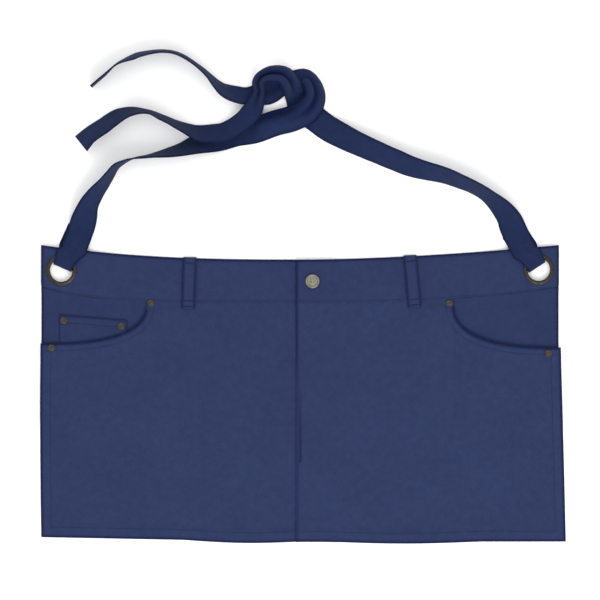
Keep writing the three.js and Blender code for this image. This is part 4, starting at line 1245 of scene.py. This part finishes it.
# Rows of topstitching
def skirt_threads(pattern, thread, side):
    s = pattern.s
    inner_edge = pattern.inner_edge(side)

    def top(x, y):
        return skirt_surface(pattern, side, x, y)[1]

    inset = s.hem_width * HEM_ROW
    mouth_depth = float(pattern.mouth_depth(side))
    start_x = float(pattern.side_x(side, -s.skirt_length)) - side * inset
    bottom_x = np.linspace(start_x, inner_edge + side * 2 * MM, 200)
    thread.run(*on_surface(top, bottom_x, pattern.hem_y(bottom_x) + inset))
    foot = float(pattern.hem_y(np.array(start_x))) + inset
    y = foot + (-mouth_depth - 4 * MM - foot) * np.linspace(0, 1, 160)
    thread.run(*on_surface(top, pattern.side_x(side, y) - side * inset, y))
    for away in POCKET_ROWS:
        turns = np.linspace(0.02, math.pi / 2 - 0.02, 160)
        across = np.cos(turns) ** (2 / ROUNDNESS) * s.mouth_width
        fall = np.sin(turns) ** (2 / ROUNDNESS) * mouth_depth
        line = np.stack([across, fall], axis=-1)
        run = unit(np.gradient(line, axis=0))
        line = line + np.stack([-run[:, 1], run[:, 0]], axis=-1) * -away * np.sign(run[0, 1])
        keep = (line[:, 0] > 0) & (line[:, 1] > 3 * MM)
        x, y = side * (s.half_width - line[keep, 0]), -line[keep, 1]
        thread.run(*on_surface(top, x, y))
    if side > 0:
        y = np.linspace(float(pattern.hem_y(np.array(inner_edge))) + 3 * MM, -3 * MM, 160)
        thread.run(*on_surface(top, np.full_like(y, inner_edge + FRONT_ROW), y))


def band_threads(pattern, thread, side):
    s = pattern.s
    inner_edge = pattern.inner_edge(side)
    outer = side * (s.half_width - BAND_ROW)

    def top(x, y):
        return band_surface(pattern, side, x, y)[1]

    x = np.linspace(outer, inner_edge + side * BAND_END_ROW, 200)
    thread.run(*on_surface(top, x, pattern.top_y(x) - BAND_ROW))
    thread.run(*on_surface(top, x, pattern.seam_y(x) + BAND_ROW))
    # The left half's inner end is hidden under the right one
    for at in (outer,) if side < 0 else (outer, inner_edge + BAND_END_ROW):
        column = np.array(at)
        y = np.linspace(float(pattern.seam_y(column)) + 3 * MM, float(pattern.top_y(column)) - 3 * MM, 40)
        thread.run(*on_surface(top, np.full_like(y, at), y))


def coin_threads(pattern, thread):
    s = pattern.s
    start = -s.half_width + s.coin_inset
    x = np.linspace(start + 1.5 * MM, start + s.coin_width - 1.5 * MM, 80)
    height = s.cloth + s.gap + s.coin_thickness + 0.35 * MM

    def top(px, py):
        return np.full_like(px, height)

    for inset in POCKET_ROWS:
        thread.run(*on_surface(top, x, pattern.coin_top(x) - inset))


def ribbon_threads(thread, ribbon, inset, faces=(1, -1)):
    """A row along each edge of a strip, on the faces that are asked for."""
    share = 0.5 - inset / float(np.max(ribbon.width))
    for face in faces:
        for edge in (-share, share):
            thread.run(ribbon.at(edge, face * (ribbon.half_thickness - 0.05 * MM)), ribbon.normal * face)


def fold_back_threads(ties, thread, ribbon):
    """Two rows across the end of a tie that is sewn down behind the band."""
    for reach in (1.5 * MM, ties.fold_back * 0.42):
        i = int(np.searchsorted(ribbon.reach, reach))
        ends = [ribbon.middle[i] + ribbon.left[i] * share * ribbon.width[i] for share in (-0.44, 0.44)]
        line = np.linspace(ends[0], ends[1], 12) + ribbon.normal[i] * ties.thickness / 2
        thread.run(line, np.repeat(ribbon.normal[i][None, :], 12, axis=0))


# Where a loop's bartacks lie: from its foot, from its head, and how wide their threads are laid
FOOT_TACKS, HEAD_TACK, TACK_WIDTH = (2.0 * MM, 9.5 * MM), 9 * MM, 2.0 * MM


def loop_tacks(thread, ribbon):
    """Two bartacks at the foot of a belt loop and one at its head."""
    for reach in (*FOOT_TACKS, ribbon.reach[-1] - HEAD_TACK):
        i = int(np.searchsorted(ribbon.reach, reach))
        lift = ribbon.normal[i] * LOOP_THICKNESS / 2
        ends = [ribbon.middle[i] + ribbon.left[i] * share * LOOP_WIDTH + lift for share in (-0.40, 0.40)]
        thread.tack(ends[0], ends[1], ribbon.normal[i], TACK_WIDTH)


# The stage: the floor's side, and how high and how far above the seam the camera stands over its picture
FLOOR_SIZE = 6.0
CAMERA_HEIGHT = 2.4
PICTURE_WIDTH = 0.7429
CAMERA_ABOVE_SEAM = 3.0 * MM


# Operators
class APRON_OT_stage(bpy.types.Operator):
    """Adds the floor, the soft lights and the camera that looks straight down"""

    bl_idname = "apron.stage"
    bl_label = "Stage"

    def execute(self, context):
        clear_selection()
        bpy.ops.mesh.primitive_plane_add(size=FLOOR_SIZE, location=(0, 0, 0))
        floor = context.object
        floor.name = "floor"
        bench = Bench("floor_paint")
        bench.feed(Base_Color=(*context.scene.apron_colours.floor, 1.0), Roughness=0.9)
        floor.data.materials.append(bench.material)
        context.scene.camera = straight_down_camera()
        soft_light("key", (0.5, -1.5, 1.7), power=31.0, size=1.5)
        soft_light("fill", (-0.6, 1.2, 2.4), power=10.0, size=2.4)
        world = bpy.data.worlds.new("studio")
        world.use_nodes = True
        background = next(n for n in world.node_tree.nodes if n.type == "BACKGROUND")
        background.inputs["Color"].default_value = (1, 1, 1, 1)
        background.inputs["Strength"].default_value = 1.03
        context.scene.world = world
        context.scene.view_settings.view_transform = "Standard"
        return {"FINISHED"}


def straight_down_camera():
    data = bpy.data.cameras.new("camera")
    data.sensor_width = 36
    data.lens = data.sensor_width * CAMERA_HEIGHT / PICTURE_WIDTH
    camera = bpy.data.objects.new("camera", data)
    bpy.context.scene.collection.objects.link(camera)
    camera.location = (MIDDLE_X, SEAM_Y + CAMERA_ABOVE_SEAM, CAMERA_HEIGHT)
    return camera


def soft_light(name, place, power, size):
    data = bpy.data.lights.new(name, "AREA")
    data.energy, data.size = power, size
    light = bpy.data.objects.new(name, data)
    bpy.context.scene.collection.objects.link(light)
    light.location = place
    light.rotation_euler = (Vector((0, 0, 0)) - Vector(place)).to_track_quat("-Z", "Y").to_euler()


class APRON_OT_skirt(bpy.types.Operator):
    """Adds the two skirt panels, the right one lapping over the left"""

    bl_idname = "apron.skirt"
    bl_label = "Skirt panels"

    def execute(self, context):
        pattern = current_pattern(context)
        for side in (-1, 1):
            skirt_piece(pattern, side)
        return {"FINISHED"}


def current_pattern(context):
    return Pattern(context.scene.apron_sizes, context.scene.apron_ties)


class APRON_OT_pockets(bpy.types.Operator):
    """Adds the facings that show in the pocket mouths and the coin pocket"""

    bl_idname = "apron.pockets"
    bl_label = "Pockets"

    def execute(self, context):
        pattern = current_pattern(context)
        for side in (-1, 1):
            pocket_back_piece(pattern, side)
        coin_piece(pattern)
        return {"FINISHED"}


class APRON_OT_waistband(bpy.types.Operator):
    """Adds the two halves of the waistband, with their eyelet holes"""

    bl_idname = "apron.waistband"
    bl_label = "Waistband"

    def execute(self, context):
        pattern = current_pattern(context)
        for side in (-1, 1):
            band_piece(pattern, side)
        return {"FINISHED"}


class APRON_OT_belt_loops(bpy.types.Operator):
    """Adds the two belt loops over the waistband"""

    bl_idname = "apron.belt_loops"
    bl_label = "Belt loops"

    def execute(self, context):
        pattern = current_pattern(context)
        for side in (-1, 1):
            ribbon = belt_loop_ribbon(pattern, side)
            piece = ribbon_piece(f"belt_loop_cloth_{SIDE_NAME[side]}", ribbon, LOOP_ROW)
            finish_cloth(piece, f"belt_loop_{SIDE_NAME[side]}", "navy_twill")
        return {"FINISHED"}


class APRON_OT_ties(bpy.types.Operator):
    """Adds the two ties, through their eyelets and knotted above the waistband"""

    bl_idname = "apron.ties"
    bl_label = "Ties"

    def execute(self, context):
        pattern = current_pattern(context)
        ties = context.scene.apron_ties
        for side in (-1, 1):
            ribbon = tie_ribbon(ties, side, pattern)
            piece = ribbon_piece(f"tie_{SIDE_NAME[side]}", ribbon, TIE_ROW)
            finish_cloth(piece, f"strap_{SIDE_NAME[side]}", "tie_cloth")
            area = float(np.sum(np.diff(ribbon.reach) * ribbon.width[1:]))
        return {"FINISHED"}


class APRON_OT_button(bpy.types.Operator):
    """Adds the tack button at the centre front"""

    bl_idname = "apron.button"
    bl_label = "Button"

    def execute(self, context):
        button_piece()
        return {"FINISHED"}


class APRON_OT_rivets(bpy.types.Operator):
    """Adds the rivets at the corners of the pocket mouths and of the coin pocket"""

    bl_idname = "apron.rivets"
    bl_label = "Rivets"

    def execute(self, context):
        for number in range(1, 7):
            rivet_piece(number)
        return {"FINISHED"}


class APRON_OT_eyelets(bpy.types.Operator):
    """Adds the two large eyelets through the ends of the waistband"""

    bl_idname = "apron.eyelets"
    bl_label = "Eyelets"

    def execute(self, context):
        for side in (-1, 1):
            eyelet_piece(side)
        return {"FINISHED"}


class APRON_OT_stitching(bpy.types.Operator):
    """Adds the topstitching, as single stitches that lie in their grooves"""

    bl_idname = "apron.stitching"
    bl_label = "Stitching"

    def execute(self, context):
        pattern = current_pattern(context)
        sizes, ties = context.scene.apron_sizes, context.scene.apron_ties
        panels, straps = Thread(sizes), Thread(sizes)
        for side in (-1, 1):
            skirt_threads(pattern, panels, side)
            band_threads(pattern, panels, side)
            loop = belt_loop_ribbon(pattern, side)
            ribbon_threads(panels, loop, LOOP_ROW, faces=(1,))
            loop_tacks(panels, loop)
            ribbon = tie_ribbon(ties, side, pattern)
            ribbon_threads(straps, ribbon, TIE_ROW)
            fold_back_threads(ties, straps, ribbon)
        coin_threads(pattern, panels)
        panels.piece("panel_stitches", "navy_twill")
        straps.piece("tie_stitches", "tie_cloth")
        return {"FINISHED"}


class APRON_PT_parts(bpy.types.Panel):
    """Lists the parts of the apron in the sidebar"""

    bl_label = "Waist Apron"
    bl_idname = "APRON_PT_parts"
    bl_space_type = "VIEW_3D"
    bl_region_type = "UI"
    bl_category = "Apron"

    def draw(self, context):
        for operator in OPERATORS:
            self.layout.operator(operator.bl_idname)
        for group in (context.scene.apron_sizes, context.scene.apron_ties, context.scene.apron_colours):
            box = self.layout.box()
            for name in group.__annotations__:
                box.prop(group, name)


OPERATORS = (
    APRON_OT_stage,
    APRON_OT_skirt,
    APRON_OT_pockets,
    APRON_OT_waistband,
    APRON_OT_belt_loops,
    APRON_OT_button,
    APRON_OT_rivets,
    APRON_OT_eyelets,
    APRON_OT_ties,
    APRON_OT_stitching,
)
GROUPS = {"apron_sizes": ApronSizes, "apron_ties": TieSizes, "apron_colours": ApronColours}


def register():
    for name, group in GROUPS.items():
        bpy.utils.register_class(group)
        setattr(bpy.types.Scene, name, bpy.props.PointerProperty(type=group))
    for each in (*OPERATORS, APRON_PT_parts):
        bpy.utils.register_class(each)


def unregister():
    for each in (APRON_PT_parts, *reversed(OPERATORS)):
        bpy.utils.unregister_class(each)
    for name, group in GROUPS.items():
        delattr(bpy.types.Scene, name)
        bpy.utils.unregister_class(group)


def main():
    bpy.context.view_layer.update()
    register()
    for operator in OPERATORS:
        group, name = operator.bl_idname.split(".")
        getattr(getattr(bpy.ops, group), name)()


if __name__ == "__main__":
    main()
